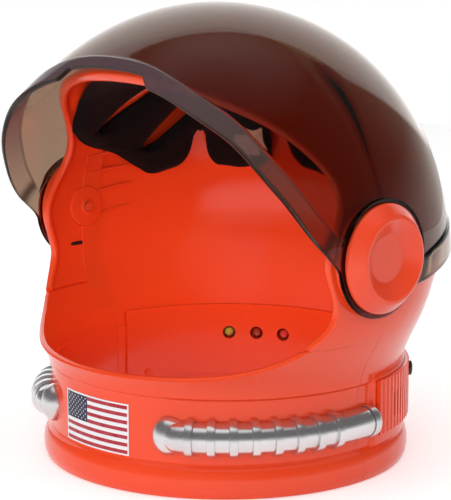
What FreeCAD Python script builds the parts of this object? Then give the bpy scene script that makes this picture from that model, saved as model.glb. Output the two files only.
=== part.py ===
"""Play astronaut helmet with a swivel visor, lights, a sound button and two moulded hoses.

Frame: the origin is the centre of the round rim that the helmet stands on, +Z is up,
the face opening looks along -Y and the wearer's left is +X. All sizes are millimetres.
"""
import FreeCAD, Part
import math
import os

import Sketcher

DOCUMENT = FreeCAD.newDocument("helmet")
SHEET = DOCUMENT.addObject("Spreadsheet::Sheet", "dims")

DRIVING_SIZES = {
    # head shell
    "half_width": 126.5,
    "rear_depth": 128.0,
    "front_depth": 142.0,
    "crown_rise": 120.0,
    "rear_crown_drop": 7.0,
    "shell_middle": -4.0,
    "squareness": 2.15,
    "shell_wall": 3.5,
    "full_width_level": 120.0,
    "jaw_level": 105.0,
    "seam_reach": 9.5,
    "seam_gap": 0.2,
    "brow_seam_level": 85.8,
    # face opening, as reach and rise from the pivot axis
    "brow_reach": -79.0,
    "brow_rise": 99.0,
    "temple_reach": -31.0,
    "temple_rise": 61.0,
    "side_reach": -19.5,
    "side_rise": 37.0,
    "ear_reach": -33.5,
    "ear_rise": -3.0,
    "jaw_reach": -27.5,
    "jaw_drop": 27.0,
    "cheek_reach": -40.0,
    "cheek_drop": 49.0,
    "chin_reach": -80.0,
    "chin_drop": 66.5,
    "sill_reach": -106.0,
    "sill_drop": 69.0,
    # collar
    "band_radius": 105.5,
    "band_wall": 3.0,
    "lip_rise": 5.1,
    "lip_top": 18.0,
    "lip_foot": 1.0,
    "shoulder_level": 57.0,
    "neck_step": 1.5,
    # ear pivot
    "pivot_reach": -7.0,
    "pivot_level": 135.0,
    "ear_pad_radius": 31.5,
    "ear_pad_rise": 1.0,
    "boss_radius": 13.0,
    "boss_depth": 7.0,
    "washer_radius": 16.0,
    "washer_wall": 0.6,
    "bush_radius": 8.0,
    "running_gap": 0.08,
    "bush_gap": 0.3,
    "screw_radius": 1.35,
    "screw_gap": 0.3,
    "screw_head_radius": 3.2,
    "screw_head_depth": 2.2,
    "screw_reach": 12.6,
    # ear cap
    "cap_radius": 31.0,
    "cap_side": 2.1,
    "cap_crest_radius": 24.0,
    "cap_crest_rise": 9.5,
    "cap_crest_land": 1.4,
    "cap_dish_radius": 14.4,
    "cap_dish_depth": 5.5,
    "cap_wall": 2.0,
    "cap_boss_radius": 5.5,
    # visor
    "visor_wall": 2.2,
    "visor_gap": 2.8,
    "visor_bulge": 2.5,
    "visor_squareness": 2.25,
    "visor_lobe_radius": 33.0,
    "rim_rise": 1.4,
    "front_rim_width": 13.0,
    "rear_rim_width": 20.0,
    "notch_half_width": 39.0,
    "notch_angle": 51.0,
    "stop_radius": 22.0,
    "stop_pin_radius": 2.0,
    "stop_pin_angle": 40.0,
    "stop_gap": 0.3,
    "visor_travel": 80.0,
    # hoses
    "hose_radius": 9.5,
    "hose_rib_rise": 1.0,
    "hose_bulb_rise": 1.6,
    "hose_seat": 2.0,
    "hose_level": 34.8,
    "hose_start_angle": -60.5,
    "hose_bulb_span": 4.5,
    "hose_end_angle": 7.0,
    "hose_cap_span": 4.0,
    "rib_count": 8,
    "rib_first_angle": -54.5,
    "rib_spacing": 6.3,
    "rib_span": 2.4,
    # flag label
    "label_width": 54.0,
    "label_height": 30.0,
    "label_wall": 0.4,
    # rear collar compartment
    "cover_start_angle": 9.0,
    "cover_low": 25.0,
    "cover_high": 57.0,
    "cover_wall": 2.6,
    "flute_count": 64,
    "flute_depth": 1.1,
    "rail_rise": 2.9,
    "rail_overlap": 1.0,
    "rail_low_width": 3.0,
    "shoulder_rise": 2.0,
    "fit_gap": 0.3,
    "liner_wall": 1.6,
    "liner_low": 19.5,
    "liner_high": 66.0,
    # lights, sound and power
    "light_level": 47.0,
    "light_middle_angle": 124.0,
    "light_spacing": 10.3,
    "light_radius": 2.5,
    "light_hole_radius": 4.25,
    "light_flange_radius": 2.9,
    "light_strip_height": 9.0,
    "strip_wall": 0.9,
    "button_angle": 42.0,
    "button_level": 50.2,
    "button_radius": 4.5,
    "button_proud": 2.2,
    "button_travel": 1.2,
    "speaker_angle": 25.0,
    "speaker_level": 39.5,
    "speaker_radius": 10.0,
    "speaker_depth": 4.0,
    "board_angle": 64.0,
    "board_span": 20.0,
    "board_height": 20.0,
    "cell_radius": 5.8,
    "cell_depth": 5.2,
    "cell_gap": 1.3,
    "cell_level": 39.5,
    "door_margin": 4.6,
    "door_low": 29.5,
    "door_high": 52.0,
    "loom_radius": 0.8,
    "loom_level": 29.6,
    # crown pad
    "pad_wall": 8.0,
    "pad_gap": 0.3,
    "pad_rim_level": 155.0,
    "pad_side_level": 171.0,
    "pad_slot_width": 9.0,
    "pad_front": -62.0,
    "tag_width": 16.0,
    "tag_height": 22.0,
}

SECTION_POINTS = 36
NODES = {}


class Size:
    """A length that keeps its number beside the sheet expression it comes from."""

    def __init__(self, number, text):
        self.number = number
        self.text = text

    def __add__(self, other):
        other = as_size(other)
        return Size(self.number + other.number, "(" + self.text + " + " + other.text + ")")

    def __sub__(self, other):
        other = as_size(other)
        return Size(self.number - other.number, "(" + self.text + " - " + other.text + ")")

    def __mul__(self, other):
        other = as_size(other)
        return Size(self.number * other.number, "(" + self.text + " * " + other.text + ")")


def as_size(value):
    """Return value as a Size, so that plain numbers can join a sum."""
    if isinstance(value, Size):
        return value
    return Size(float(value), repr(float(value)))


def size(alias):
    """Return the driving size with this alias."""
    return Size(float(SHEET.get(alias)), "dims." + alias)


def mm(alias):
    """Return the number behind an alias."""
    return float(SHEET.get(alias))


def vec(x, y, z):
    """Return a vector."""
    return FreeCAD.Vector(x, y, z)


def fill_sheet():
    """Write every driving size into the sheet, one row each."""
    for row, (alias, value) in enumerate(DRIVING_SIZES.items(), start=1):
        SHEET.set("A" + str(row), alias)
        SHEET.set("B" + str(row), str(value))
        SHEET.setAlias("B" + str(row), alias)
    DOCUMENT.recompute()


def keep(name, feature):
    """Give a finished sub-part its node name."""
    feature.Label = name
    NODES[name] = feature
    return feature


def shaped(name, shape):
    """Keep a shape made with Part's functions as a node."""
    feature = DOCUMENT.addObject("Part::Feature", name)
    feature.Shape = shape
    feature.Placement = FreeCAD.Placement()
    return keep(name, feature)


# Places on the collar and on the pivot axis


def around(radius, angle, level):
    """Return the point at this radius, azimuth in degrees from +X and height."""
    turn = math.radians(angle)
    return vec(radius * math.cos(turn), radius * math.sin(turn), level)


def radial_placement(angle, level):
    """Return a placement on the Z axis whose own +Z points outwards at this azimuth."""
    outwards = around(1.0, angle, 0.0)
    return FreeCAD.Placement(vec(0, 0, level), FreeCAD.Rotation(vec(0, 0, 1), outwards))


def pivot_placement(side):
    """Return a placement on the pivot axis whose own +Z points to the wearer's left or right."""
    middle = vec(0, mm("pivot_reach"), mm("pivot_level"))
    return FreeCAD.Placement(middle, FreeCAD.Rotation(vec(0, 0, 1), vec(side, 0, 0)))


def ring_sector(inner, outer, low, high, start, end):
    """Return a solid ring piece about the Z axis between two azimuths."""
    span = end - start
    blank = Part.makeCylinder(outer, high - low, vec(0, 0, low), vec(0, 0, 1), span)
    core = Part.makeCylinder(inner, high - low + 2, vec(0, 0, low - 1), vec(0, 0, 1), 360)
    blank.rotate(vec(0, 0, 0), vec(0, 0, 1), start)
    return blank.cut(core)


def radial_cylinder(radius, near, far, angle, level):
    """Return a cylinder along the radial direction at this azimuth and height."""
    outwards = around(1.0, angle, 0.0)
    start = outwards * near + vec(0, 0, level)
    return Part.makeCylinder(radius, far - near, start, outwards)


def side_prism(edges, half_width):
    """Return the prism of a closed side view outline, reaching half_width each way along X."""
    face = Part.Face(Part.Wire(edges))
    face.translate(vec(-half_width, 0, 0))
    return face.extrude(vec(2 * half_width, 0, 0))


def from_pivot(reach, rise):
    """Return the side view point at this reach and rise from the pivot axis."""
    return vec(0, mm("pivot_reach") + reach, mm("pivot_level") + rise)


# Bodies turned about their own Z axis


def origin_plane(body, role):
    """Return the body's own origin plane with this role."""
    for feature in body.Origin.OriginFeatures:
        if feature.Role == role:
            return feature
    raise ValueError("no plane " + role)


def hold(sketch, corner, direction, length):
    """Fix one coordinate of a sketch corner to the sheet."""
    if abs(length.number) < 1e-9:
        axis = -2 if direction == "DistanceX" else -1
        sketch.addConstraint(Sketcher.Constraint("PointOnObject", corner, 1, axis))
        return
    index = sketch.addConstraint(Sketcher.Constraint(direction, -1, 1, corner, 1, length.number))
    sketch.setExpression("Constraints[" + str(index) + "]", length.text)


def profile_sketch(body, name, corners):
    """Draw a closed outline of straight edges through corners of (across, along) sizes."""
    sketch = body.newObject("Sketcher::SketchObject", name)
    sketch.AttachmentSupport = [(origin_plane(body, "XZ_Plane"), "")]
    sketch.MapMode = "FlatFace"
    count = len(corners)
    for index in range(count):
        across, along = corners[index]
        next_across, next_along = corners[(index + 1) % count]
        start = vec(across.number, along.number, 0)
        end = vec(next_across.number, next_along.number, 0)
        sketch.addGeometry(Part.LineSegment(start, end), False)
    for index in range(count):
        sketch.addConstraint(Sketcher.Constraint("Coincident", index, 2, (index + 1) % count, 1))
    for index, (across, along) in enumerate(corners):
        hold(sketch, index, "DistanceX", across)
        hold(sketch, index, "DistanceY", along)
    return sketch


def turned_body(name, corners, placement):
    """Make a body by turning an outline of (radius, height) corners about its Z axis."""
    body = DOCUMENT.addObject("PartDesign::Body", name)
    corners = [(as_size(across), as_size(along)) for across, along in corners]
    sketch = profile_sketch(body, name + "_outline", corners)
    turn = body.newObject("PartDesign::Revolution", name + "_turn")
    turn.Profile = sketch
    turn.ReferenceAxis = (sketch, ["V_Axis"])
    turn.Angle = 360.0
    body.Tip = turn
    body.Placement = placement
    return keep(name, body)


# Head shell


def neck_radius():
    """Return the radius where the shell meets the collar band."""
    return mm("band_radius") + mm("neck_step")


def section_sizes(level):
    """Return half width, front and rear depth, middle and squareness of the shell at a height.

    Below the widest level the shell draws in to the round neck, quickly at the jaw in
    front and evenly behind. Above it the sizes stay, and the crown scales them.
    """
    low = mm("shoulder_level")
    front_share = min(1.0, max(0.0, (level - low) / (mm("jaw_level") - low)))
    rear_share = min(1.0, max(0.0, (level - low) / (mm("full_width_level") - low)))
    front_swell = math.sin(0.5 * math.pi * front_share) ** 1.6
    rear_swell = rear_share ** 1.15
    neck = neck_radius()
    width = neck + (mm("half_width") - neck) * front_swell
    jaw_depth = neck + (mm("half_width") + 2.0 - neck) * front_swell
    above_jaw = (level - mm("jaw_level")) / (mm("pivot_level") - mm("jaw_level"))
    above_jaw = min(1.0, max(0.0, above_jaw))
    front = jaw_depth + (mm("front_depth") - jaw_depth) * above_jaw ** 2
    rear = neck + (mm("rear_depth") - neck) * rear_swell
    middle = mm("shell_middle") * front_swell
    front_power = 2.0 + (mm("squareness") - 2.0) * front_swell
    rear_power = 2.0 + (mm("squareness") - 2.0) * rear_swell ** 3
    return width, front, rear, middle, front_power, rear_power


def section_wire(level, inset, scale=1.0, rise=0.0):
    """Return the closed outline of the shell at one height, drawn in by inset."""
    width, front, rear, middle, front_power, rear_power = section_sizes(level)
    points = []
    for index in range(SECTION_POINTS):
        turn = 2.0 * math.pi * index / SECTION_POINTS
        power = rear_power if math.cos(turn) > 0 else front_power
        across = math.copysign(abs(math.sin(turn)) ** (2.0 / power), math.sin(turn))
        along = math.copysign(abs(math.cos(turn)) ** (2.0 / power), math.cos(turn))
        depth = rear if along > 0 else front
        x = (width - inset) * scale * across
        y = middle + (depth - inset) * scale * along
        points.append(vec(x, y, level + rise))
    curve = Part.BSplineCurve()
    curve.interpolate(points, PeriodicFlag=True)
    return Part.Wire([curve.toShape()])


def helmet_solid(inset, crown_rise, start_level):
    """Return the filled head shape from start_level up to the crown, drawn in by inset."""
    low = start_level
    high = mm("pivot_level")
    wires = []
    for share in (0.0, 0.09, 0.19, 0.3, 0.42, 0.56, 0.7, 0.85, 1.0):
        wires.append(section_wire(low + (high - low) * share, inset))
    for angle in (12, 24, 36, 48, 59, 69, 78, 84):
        turn = math.radians(angle)
        rise = (crown_rise - inset) * math.sin(turn)
        wires.append(section_wire(high, inset, math.cos(turn), rise))
    return Part.makeLoft(wires, True, False, False)


def crown_shell(crown_rise):
    """Return the hollow head shell above the shoulder line."""
    low = mm("shoulder_level")
    outer = helmet_solid(0.0, crown_rise, low)
    inner = helmet_solid(mm("shell_wall"), crown_rise, low - 1.0)
    return outer.cut(inner)


def ear_pads(shape):
    """Add the outer pad and the inner screw boss at both ends of the pivot axis."""
    pad_face = mm("half_width") + mm("ear_pad_rise")
    boss_start = pad_face - mm("boss_depth")
    skin = mm("half_width") - mm("shell_wall")
    for side in (1, -1):
        axis = vec(side, 0, 0)
        middle = vec(0, mm("pivot_reach"), mm("pivot_level"))
        pad = Part.makeCylinder(mm("ear_pad_radius"), pad_face - skin, middle + axis * skin, axis)
        boss = Part.makeCylinder(
            mm("boss_radius"), pad_face - boss_start, middle + axis * boss_start, axis
        )
        hole_radius = mm("screw_radius") + mm("screw_gap")
        hole = Part.makeCylinder(
            hole_radius, mm("boss_depth") + 2, middle + axis * (boss_start - 1), axis
        )
        shape = shape.fuse(pad).fuse(boss).cut(hole)
    return shape


def mouth_prism():
    """Return the space in front of the face opening's edge."""
    names = ("brow", "temple", "side", "ear")
    points = [from_pivot(mm(name + "_reach"), mm(name + "_rise")) for name in names]
    drops = ("jaw", "cheek", "chin", "sill")
    points += [from_pivot(mm(name + "_reach"), -mm(name + "_drop")) for name in drops]
    far = points[-1].y - 90.0
    curve = Part.BSplineCurve()
    curve.interpolate(points)
    top_corner = vec(0, far, points[0].z + 25.0)
    low_corner = vec(0, far, points[-1].z)
    edges = [
        curve.toShape(),
        Part.LineSegment(points[-1], low_corner).toShape(),
        Part.LineSegment(low_corner, top_corner).toShape(),
        Part.LineSegment(top_corner, points[0]).toShape(),
    ]
    return side_prism(edges, 2.0 * mm("half_width"))


def seam_prism(shift):
    """Return the space behind the seam between front and rear, moved back by shift.

    The seam is upright just behind the pivot axis and leans back over the crown.
    """
    reach = mm("seam_reach") + shift
    foot = vec(0, mm("pivot_reach") + reach, -10.0)
    knee = from_pivot(reach, 38.0)
    bend = from_pivot(reach + 6.5, 68.0)
    crown = from_pivot(reach + 23.5, 96.0)
    top = from_pivot(reach + 52.0, 145.0)
    far = mm("rear_depth") * 2.0
    edges = [
        Part.LineSegment(foot, knee).toShape(),
        Part.Arc(knee, bend, crown).toShape(),
        Part.LineSegment(crown, top).toShape(),
        Part.LineSegment(top, vec(0, far, top.z)).toShape(),
        Part.LineSegment(vec(0, far, top.z), vec(0, far, foot.z)).toShape(),
        Part.LineSegment(vec(0, far, foot.z), foot).toShape(),
    ]
    return side_prism(edges, 2.0 * mm("half_width"))


def level_slab(low, high):
    """Return a wide slab between two heights."""
    reach = 3.0 * mm("half_width")
    return Part.makeBox(2 * reach, 2 * reach, high - low, vec(-reach, -reach, low))


def collar_ring(outer, top):
    """Return the collar: a rounded lip on the floor and a recessed band above it."""
    inner = mm("band_radius") - mm("band_wall")
    foot = outer + mm("lip_foot")
    lip_top = mm("lip_top")
    corners = [
        vec(inner, 0, 0),
        vec(foot, 0, 0),
        vec(outer, 0, lip_top),
        vec(outer, 0, top),
        vec(inner, 0, top),
    ]
    lip_middle = vec(outer + mm("lip_rise"), 0, 0.52 * lip_top)
    edges = [
        Part.LineSegment(corners[0], corners[1]).toShape(),
        Part.Arc(corners[1], lip_middle, corners[2]).toShape(),
        Part.LineSegment(corners[2], corners[3]).toShape(),
        Part.LineSegment(corners[3], corners[4]).toShape(),
        Part.LineSegment(corners[4], corners[0]).toShape(),
    ]
    face = Part.Face(Part.Wire(edges))
    return face.revolve(vec(0, 0, 0), vec(0, 0, 1), 360)


def liner_outer():
    """Return the outer radius of the compartment's inner cover."""
    return mm("band_radius") - mm("band_wall") - 0.1


def rail_radius():
    """Return the radius of the rails that the fluted cover lies on."""
    return mm("band_radius") + mm("rail_rise")


def cover_inner():
    """Return the inner radius of the fluted cover."""
    return rail_radius() + mm("fit_gap")


def cover_outer():
    """Return the outer radius of the fluted cover."""
    return cover_inner() + mm("cover_wall")


def cover_end_angle():
    """Return the azimuth where the fluted cover ends, opposite its start."""
    return 180.0 - mm("cover_start_angle")


def window_low():
    """Return the lower edge of the compartment's opening through the collar band."""
    return mm("cover_low") + mm("rail_low_width")


def window_high():
    """Return the upper edge of the compartment's opening through the collar band."""
    return mm("cover_high") - mm("rail_overlap")


def screw_angles():
    """Return the azimuths of the four screws that hold the compartment's inner cover."""
    start = mm("cover_start_angle") + 5.0
    end = cover_end_angle() - 5.0
    return [start + (end - start) * index / 3.0 for index in range(4)]


def screw_level():
    """Return the height of the inner cover's screws, in the lower rail."""
    return 0.5 * (mm("lip_top") + window_low())


def make_shells():
    """Build the face frame, the chin with its collar half, and the rear shell."""
    high = mm("brow_seam_level")
    gap = mm("seam_gap")
    front_crown = ear_pads(crown_shell(mm("crown_rise")))
    rear_crown = ear_pads(crown_shell(mm("crown_rise") - mm("rear_crown_drop")))
    behind = seam_prism(0.0)
    ahead_cut = seam_prism(-gap)
    mouth = mouth_prism()
    collar = collar_ring(mm("band_radius"), mm("shoulder_level") + 1.5)
    front_body = front_crown.cut(mouth).cut(ahead_cut)
    shaped("shell_front", front_body.common(level_slab(high + gap, 400.0)))
    chin = front_crown.fuse(collar).cut(mouth).cut(ahead_cut)
    shaped("chin_front", chin.common(level_slab(-5.0, high)))
    start = mm("cover_start_angle")
    end = cover_end_angle()
    inner = mm("band_radius") - mm("band_wall")
    rear_full = rear_crown.fuse(collar).common(behind)
    rails = ring_sector(mm("band_radius") - 1.0, rail_radius(), mm("lip_top") - 2.0,
                        mm("shoulder_level") + mm("shoulder_rise"), start - 1.0, end + 1.0)
    rear_full = rear_full.fuse(rails)
    window = ring_sector(inner - 4.0, rail_radius() + 4.0, window_low(), window_high(),
                         start + 3.0, end - 3.0)
    rear_full = rear_full.cut(window)
    for angle in screw_angles():
        pilot = radial_cylinder(1.1, inner - 2.0, rail_radius() - 1.0, angle, screw_level())
        rear_full = rear_full.cut(pilot)
    rear_full = rear_full.fuse(stop_pins())
    shaped("shell_rear", rear_full)


def stop_pins():
    """Return the two pins that end the visor's travel, one on each ear pad."""
    turn = math.radians(mm("stop_pin_angle"))
    reach = mm("stop_radius") * math.cos(turn)
    rise = mm("stop_radius") * math.sin(turn)
    pad_face = mm("half_width") + mm("ear_pad_rise")
    length = mm("washer_wall") + mm("stop_gap") + mm("visor_wall")
    pins = []
    for side in (1, -1):
        axis = vec(side, 0, 0)
        start = from_pivot(reach, rise) + axis * (pad_face - 1.0)
        pins.append(Part.makeCylinder(mm("stop_pin_radius"), length + 1.0, start, axis))
    return pins[0].fuse(pins[1])


# Visor


def visor_inner_flat():
    """Return how far the flat inner face of the visor's lobe is from the middle plane."""
    return mm("half_width") + mm("ear_pad_rise") + mm("washer_wall") + 0.2


def visor_inner_radius():
    """Return the visor's inner radius about the pivot axis, clear of every part of the shell."""
    rear = mm("rear_depth") + mm("shell_middle") - mm("pivot_reach")
    brow = math.hypot(mm("brow_reach"), mm("brow_rise"))
    sill = math.hypot(mm("sill_reach"), mm("sill_drop"))
    return max(rear, brow, sill, mm("crown_rise")) + mm("visor_gap")


def visor_skin(rise, wall):
    """Return the closed skin of revolution that the visor is cut from.

    Its outline is a superellipse across the helmet, cut off flat at both lobes.
    """
    flat_inner = visor_inner_flat()
    flat_outer = flat_inner + mm("visor_wall")
    radius_outer = visor_inner_radius() + mm("visor_wall") + rise
    width_outer = flat_outer + mm("visor_bulge") + rise
    outer = half_outline(width_outer, radius_outer, flat_outer)
    inner = half_outline(width_outer - wall, radius_outer - wall, flat_inner)
    outer_curve = Part.BSplineCurve()
    outer_curve.interpolate(outer)
    inner_curve = Part.BSplineCurve()
    inner_curve.interpolate(inner)
    corners = [vec(-flat_outer, 0, 0), vec(-flat_inner, 0, 0),
               vec(flat_inner, 0, 0), vec(flat_outer, 0, 0)]
    edges = [
        outer_curve.toShape(),
        Part.LineSegment(outer[-1], corners[0]).toShape(),
        Part.LineSegment(corners[0], corners[1]).toShape(),
        Part.LineSegment(corners[1], inner[-1]).toShape(),
        inner_curve.toShape(),
        Part.LineSegment(inner[0], corners[2]).toShape(),
        Part.LineSegment(corners[2], corners[3]).toShape(),
        Part.LineSegment(corners[3], outer[0]).toShape(),
    ]
    face = Part.Face(Part.Wire(Part.__sortEdges__(edges)))
    skin = face.revolve(vec(0, 0, 0), vec(1, 0, 0), 360)
    skin.translate(vec(0, mm("pivot_reach"), mm("pivot_level")))
    return skin


def half_outline(width, radius, flat):
    """Return points of a superellipse above the X axis, from x = flat to x = -flat."""
    power = mm("visor_squareness")
    count = 20
    cut_share = (flat / width) ** (power / 2.0)
    first = math.acos(cut_share)
    points = []
    for index in range(count + 1):
        turn = first + (math.pi - 2.0 * first) * index / count
        across = math.copysign(abs(math.cos(turn)) ** (2.0 / power), math.cos(turn))
        points.append(vec(width * across, radius * math.sin(turn) ** (2.0 / power), 0))
    return points


def front_edge_points(shift):
    """Return three side view points of the visor's front edge, drawn back by shift."""
    lobe = mm("visor_lobe_radius")
    start = from_pivot(-lobe * 0.978 + 0.25 * shift, -0.209 * lobe + 1.2 * shift)
    middle = from_pivot(-68.0 + 0.86 * shift, 41.0 + 0.5 * shift)
    end = from_pivot(-91.0 + 0.95 * shift, 101.0 + 0.3 * shift)
    return start, middle, end


def visor_outline(front_shift, rear_shift):
    """Return the side view outline that keeps the visor between its front and rear edges."""
    lobe = mm("visor_lobe_radius")
    start, middle, end = front_edge_points(front_shift)
    slope = math.radians(12.4)
    tangent = from_pivot(lobe * math.sin(slope) - rear_shift * math.sin(slope),
                         -(lobe - rear_shift) * math.cos(slope))
    far = 2.0 * visor_inner_radius()
    rear_far = vec(0, tangent.y + far * math.cos(slope), tangent.z + far * math.sin(slope))
    lobe_turn = math.radians(225.0)
    lobe_middle = from_pivot(lobe * math.cos(lobe_turn), lobe * math.sin(lobe_turn))
    top_front = vec(0, end.y - 3.0, mm("pivot_level") + far)
    top_rear = vec(0, rear_far.y, top_front.z)
    edges = [
        Part.Arc(start, middle, end).toShape(),
        Part.LineSegment(end, top_front).toShape(),
        Part.LineSegment(top_front, top_rear).toShape(),
        Part.LineSegment(top_rear, rear_far).toShape(),
        Part.LineSegment(rear_far, tangent).toShape(),
    ]
    if rear_shift or front_shift:
        edges.append(Part.LineSegment(tangent, start).toShape())
    else:
        edges.append(Part.Arc(tangent, lobe_middle, start).toShape())
    return edges


def arc_slot(radius, half_width, start, end):
    """Return the side view face of a round-ended slot about the pivot axis."""
    def at(distance, angle):
        turn = math.radians(angle)
        return from_pivot(distance * math.cos(turn), distance * math.sin(turn))
    middle = 0.5 * (start + end)
    cap = math.degrees(half_width / radius)
    edges = [
        Part.Arc(at(radius + half_width, start), at(radius + half_width, middle),
                 at(radius + half_width, end)).toShape(),
        Part.Arc(at(radius + half_width, end), at(radius, end + cap),
                 at(radius - half_width, end)).toShape(),
        Part.Arc(at(radius - half_width, end), at(radius - half_width, middle),
                 at(radius - half_width, start)).toShape(),
        Part.Arc(at(radius - half_width, start), at(radius, start - cap),
                 at(radius + half_width, start)).toShape(),
    ]
    return edges


def make_visor():
    """Build the swivel visor with its raised rims, front notch, pivot holes and stop slots."""
    half = 2.0 * mm("half_width")
    whole = side_prism(visor_outline(0.0, 0.0), half)
    window = side_prism(visor_outline(mm("front_rim_width"), mm("rear_rim_width")), half)
    skin = visor_skin(0.0, mm("visor_wall")).common(whole)
    rim_skin = visor_skin(mm("rim_rise"), mm("visor_wall") + 0.5 * mm("rim_rise"))
    rim = rim_skin.common(whole).cut(window)
    lobe_keep = 1.35 * mm("visor_lobe_radius")
    lobe = Part.makeCylinder(lobe_keep, 2 * half, from_pivot(0, 0) - vec(half, 0, 0), vec(1, 0, 0))
    rim = rim.cut(lobe)
    shape = skin.fuse(rim)
    turn = math.radians(mm("notch_angle"))
    near = 0.5 * visor_inner_radius()
    far = 1.5 * visor_inner_radius()
    notch_edges = [
        from_pivot(-near * math.cos(turn), near * math.sin(turn)),
        from_pivot(-far * math.cos(turn), far * math.sin(turn)),
        from_pivot(-far, 0.3 * far),
        from_pivot(-near, 0.3 * near),
    ]
    notch_edges.append(notch_edges[0])
    lines = []
    for index in range(4):
        lines.append(Part.LineSegment(notch_edges[index], notch_edges[index + 1]).toShape())
    shape = shape.cut(side_prism(lines, mm("notch_half_width")))
    hole_radius = mm("bush_radius") + mm("running_gap")
    hole = Part.makeCylinder(hole_radius, 2 * half, from_pivot(0, 0) - vec(half, 0, 0), vec(1, 0, 0))
    shape = shape.cut(hole)
    slot_half = mm("stop_pin_radius") + mm("stop_gap")
    spare = 1.0
    slot = arc_slot(mm("stop_radius"), slot_half,
                    mm("stop_pin_angle") - mm("visor_travel") - spare, mm("stop_pin_angle") + spare)
    shape = shape.cut(side_prism(slot, half))
    shaped("visor", shape)


# Ear pivots


def make_ear(name, side):
    """Build the cap, bush, washer and screw at one end of the pivot axis."""
    placement = pivot_placement(side)
    pad_face = size("half_width") + size("ear_pad_rise")
    lobe_out = pad_face + size("washer_wall") + 0.2 + size("visor_wall")
    bush_top = lobe_out + size("bush_gap")
    rim = bush_top + 0.1
    crest = rim + size("cap_crest_rise")
    dish = crest - size("cap_dish_depth")
    wall = size("cap_wall")
    pilot = size("screw_radius") + 0.1
    pilot_top = dish - 1.0
    turned_body("ear_cap_" + name, [
        (size("cap_radius"), rim),
        (size("cap_radius"), rim + size("cap_side")),
        (size("cap_crest_radius"), crest),
        (size("cap_crest_radius") - size("cap_crest_land"), crest),
        (size("cap_dish_radius"), dish),
        (as_size(0.0), dish),
        (as_size(0.0), pilot_top),
        (pilot, pilot_top),
        (pilot, bush_top),
        (size("cap_boss_radius"), bush_top),
        (size("cap_boss_radius"), dish - wall),
        (size("cap_dish_radius") - 0.8, dish - wall),
        (size("cap_crest_radius") - size("cap_crest_land") + 0.3, crest - wall - 0.2),
        (size("cap_radius") - wall, rim + size("cap_side") - 0.9),
        (size("cap_radius") - wall, rim),
    ], placement)
    hole = size("screw_radius") + size("screw_gap")
    turned_body("pivot_bush_" + name, [
        (hole, pad_face),
        (size("bush_radius"), pad_face),
        (size("bush_radius"), bush_top),
        (hole, bush_top),
    ], placement)
    turned_body("friction_washer_" + name, [
        (size("bush_radius") + 0.3, pad_face),
        (size("washer_radius"), pad_face),
        (size("washer_radius"), pad_face + size("washer_wall")),
        (size("bush_radius") + 0.3, pad_face + size("washer_wall")),
    ], placement)
    head_face = pad_face - size("boss_depth")
    turned_body("pivot_screw_" + name, [
        (as_size(0.0), head_face - size("screw_head_depth")),
        (size("screw_head_radius"), head_face - size("screw_head_depth")),
        (size("screw_head_radius"), head_face),
        (size("screw_radius"), head_face),
        (size("screw_radius"), head_face + size("screw_reach")),
        (as_size(0.0), head_face + size("screw_reach")),
    ], placement)


# Hoses, label


def tube_arc(name, radius, start, span):
    """Make a torus piece about the Z axis at the hoses' height."""
    torus = DOCUMENT.addObject("Part::Torus", name)
    torus.Angle3 = span
    torus.setExpression("Radius1", "dims.band_radius + dims.hose_seat")
    torus.setExpression("Radius2", radius.text)
    torus.Placement = FreeCAD.Placement(
        vec(0, 0, mm("hose_level")), FreeCAD.Rotation(vec(0, 0, 1), start)
    )
    return torus


def fused(name, features):
    """Fuse several features into one."""
    fuse = DOCUMENT.addObject("Part::MultiFuse", name)
    fuse.Shapes = features
    return fuse


def seat_cut(name, feature):
    """Cut the collar band's round seat out of a hose piece."""
    seat = DOCUMENT.addObject("Part::Cylinder", name + "_seat")
    seat.setExpression("Radius", "dims.band_radius + 0.1")
    seat.setExpression("Height", "dims.shoulder_level * 2")
    seat.Placement = FreeCAD.Placement(vec(0, 0, -5.0), FreeCAD.Rotation())
    cut = DOCUMENT.addObject("Part::Cut", name)
    cut.Base = feature
    cut.Tool = seat
    return cut


def make_hose(name, side):
    """Build one moulded hose with its ribs, its front bulb and its separate end cap."""
    def turned(start, span):
        """Return the start of a span on this side, mirrored on the wearer's right."""
        return start if side > 0 else 180.0 - start - span
    start = mm("hose_start_angle")
    end = mm("hose_end_angle") - mm("hose_cap_span")
    tube = size("hose_radius")
    bulb = tube + size("hose_bulb_rise")
    pieces = [tube_arc(name + "_tube", tube, turned(start, end - start), end - start)]
    span = mm("hose_bulb_span")
    pieces.append(tube_arc(name + "_bulb", bulb, turned(start, span), span))
    nose = DOCUMENT.addObject("Part::Sphere", name + "_nose")
    nose.setExpression("Radius", bulb.text)
    nose_angle = start if side > 0 else 180.0 - start
    nose.Placement = FreeCAD.Placement(
        around(mm("band_radius") + mm("hose_seat"), nose_angle, mm("hose_level")),
        FreeCAD.Rotation()
    )
    pieces.append(nose)
    for index in range(int(mm("rib_count"))):
        rib_start = mm("rib_first_angle") + index * mm("rib_spacing")
        rib_span = mm("rib_span")
        pieces.append(tube_arc(name + "_rib", tube + size("hose_rib_rise"),
                               turned(rib_start, rib_span), rib_span))
    keep(name, seat_cut(name + "_seated", fused(name + "_blank", pieces)))
    cap_span = mm("hose_cap_span")
    cap = tube_arc(name + "_end_tube", tube + 0.4, turned(end + 0.12, cap_span), cap_span)
    keep(name.replace("hose", "hose_end"), seat_cut(name + "_end_seated", cap))


def make_label():
    """Build the thin flag label on the front of the collar band."""
    half = math.degrees(0.5 * mm("label_width") / mm("band_radius"))
    low = mm("hose_level") - 0.5 * mm("label_height")
    shaped("flag_label", ring_sector(
        mm("band_radius") + 0.05, mm("band_radius") + 0.05 + mm("label_wall"),
        low, low + mm("label_height"), -90.0 - half, -90.0 + half))


# Rear collar compartment


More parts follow.
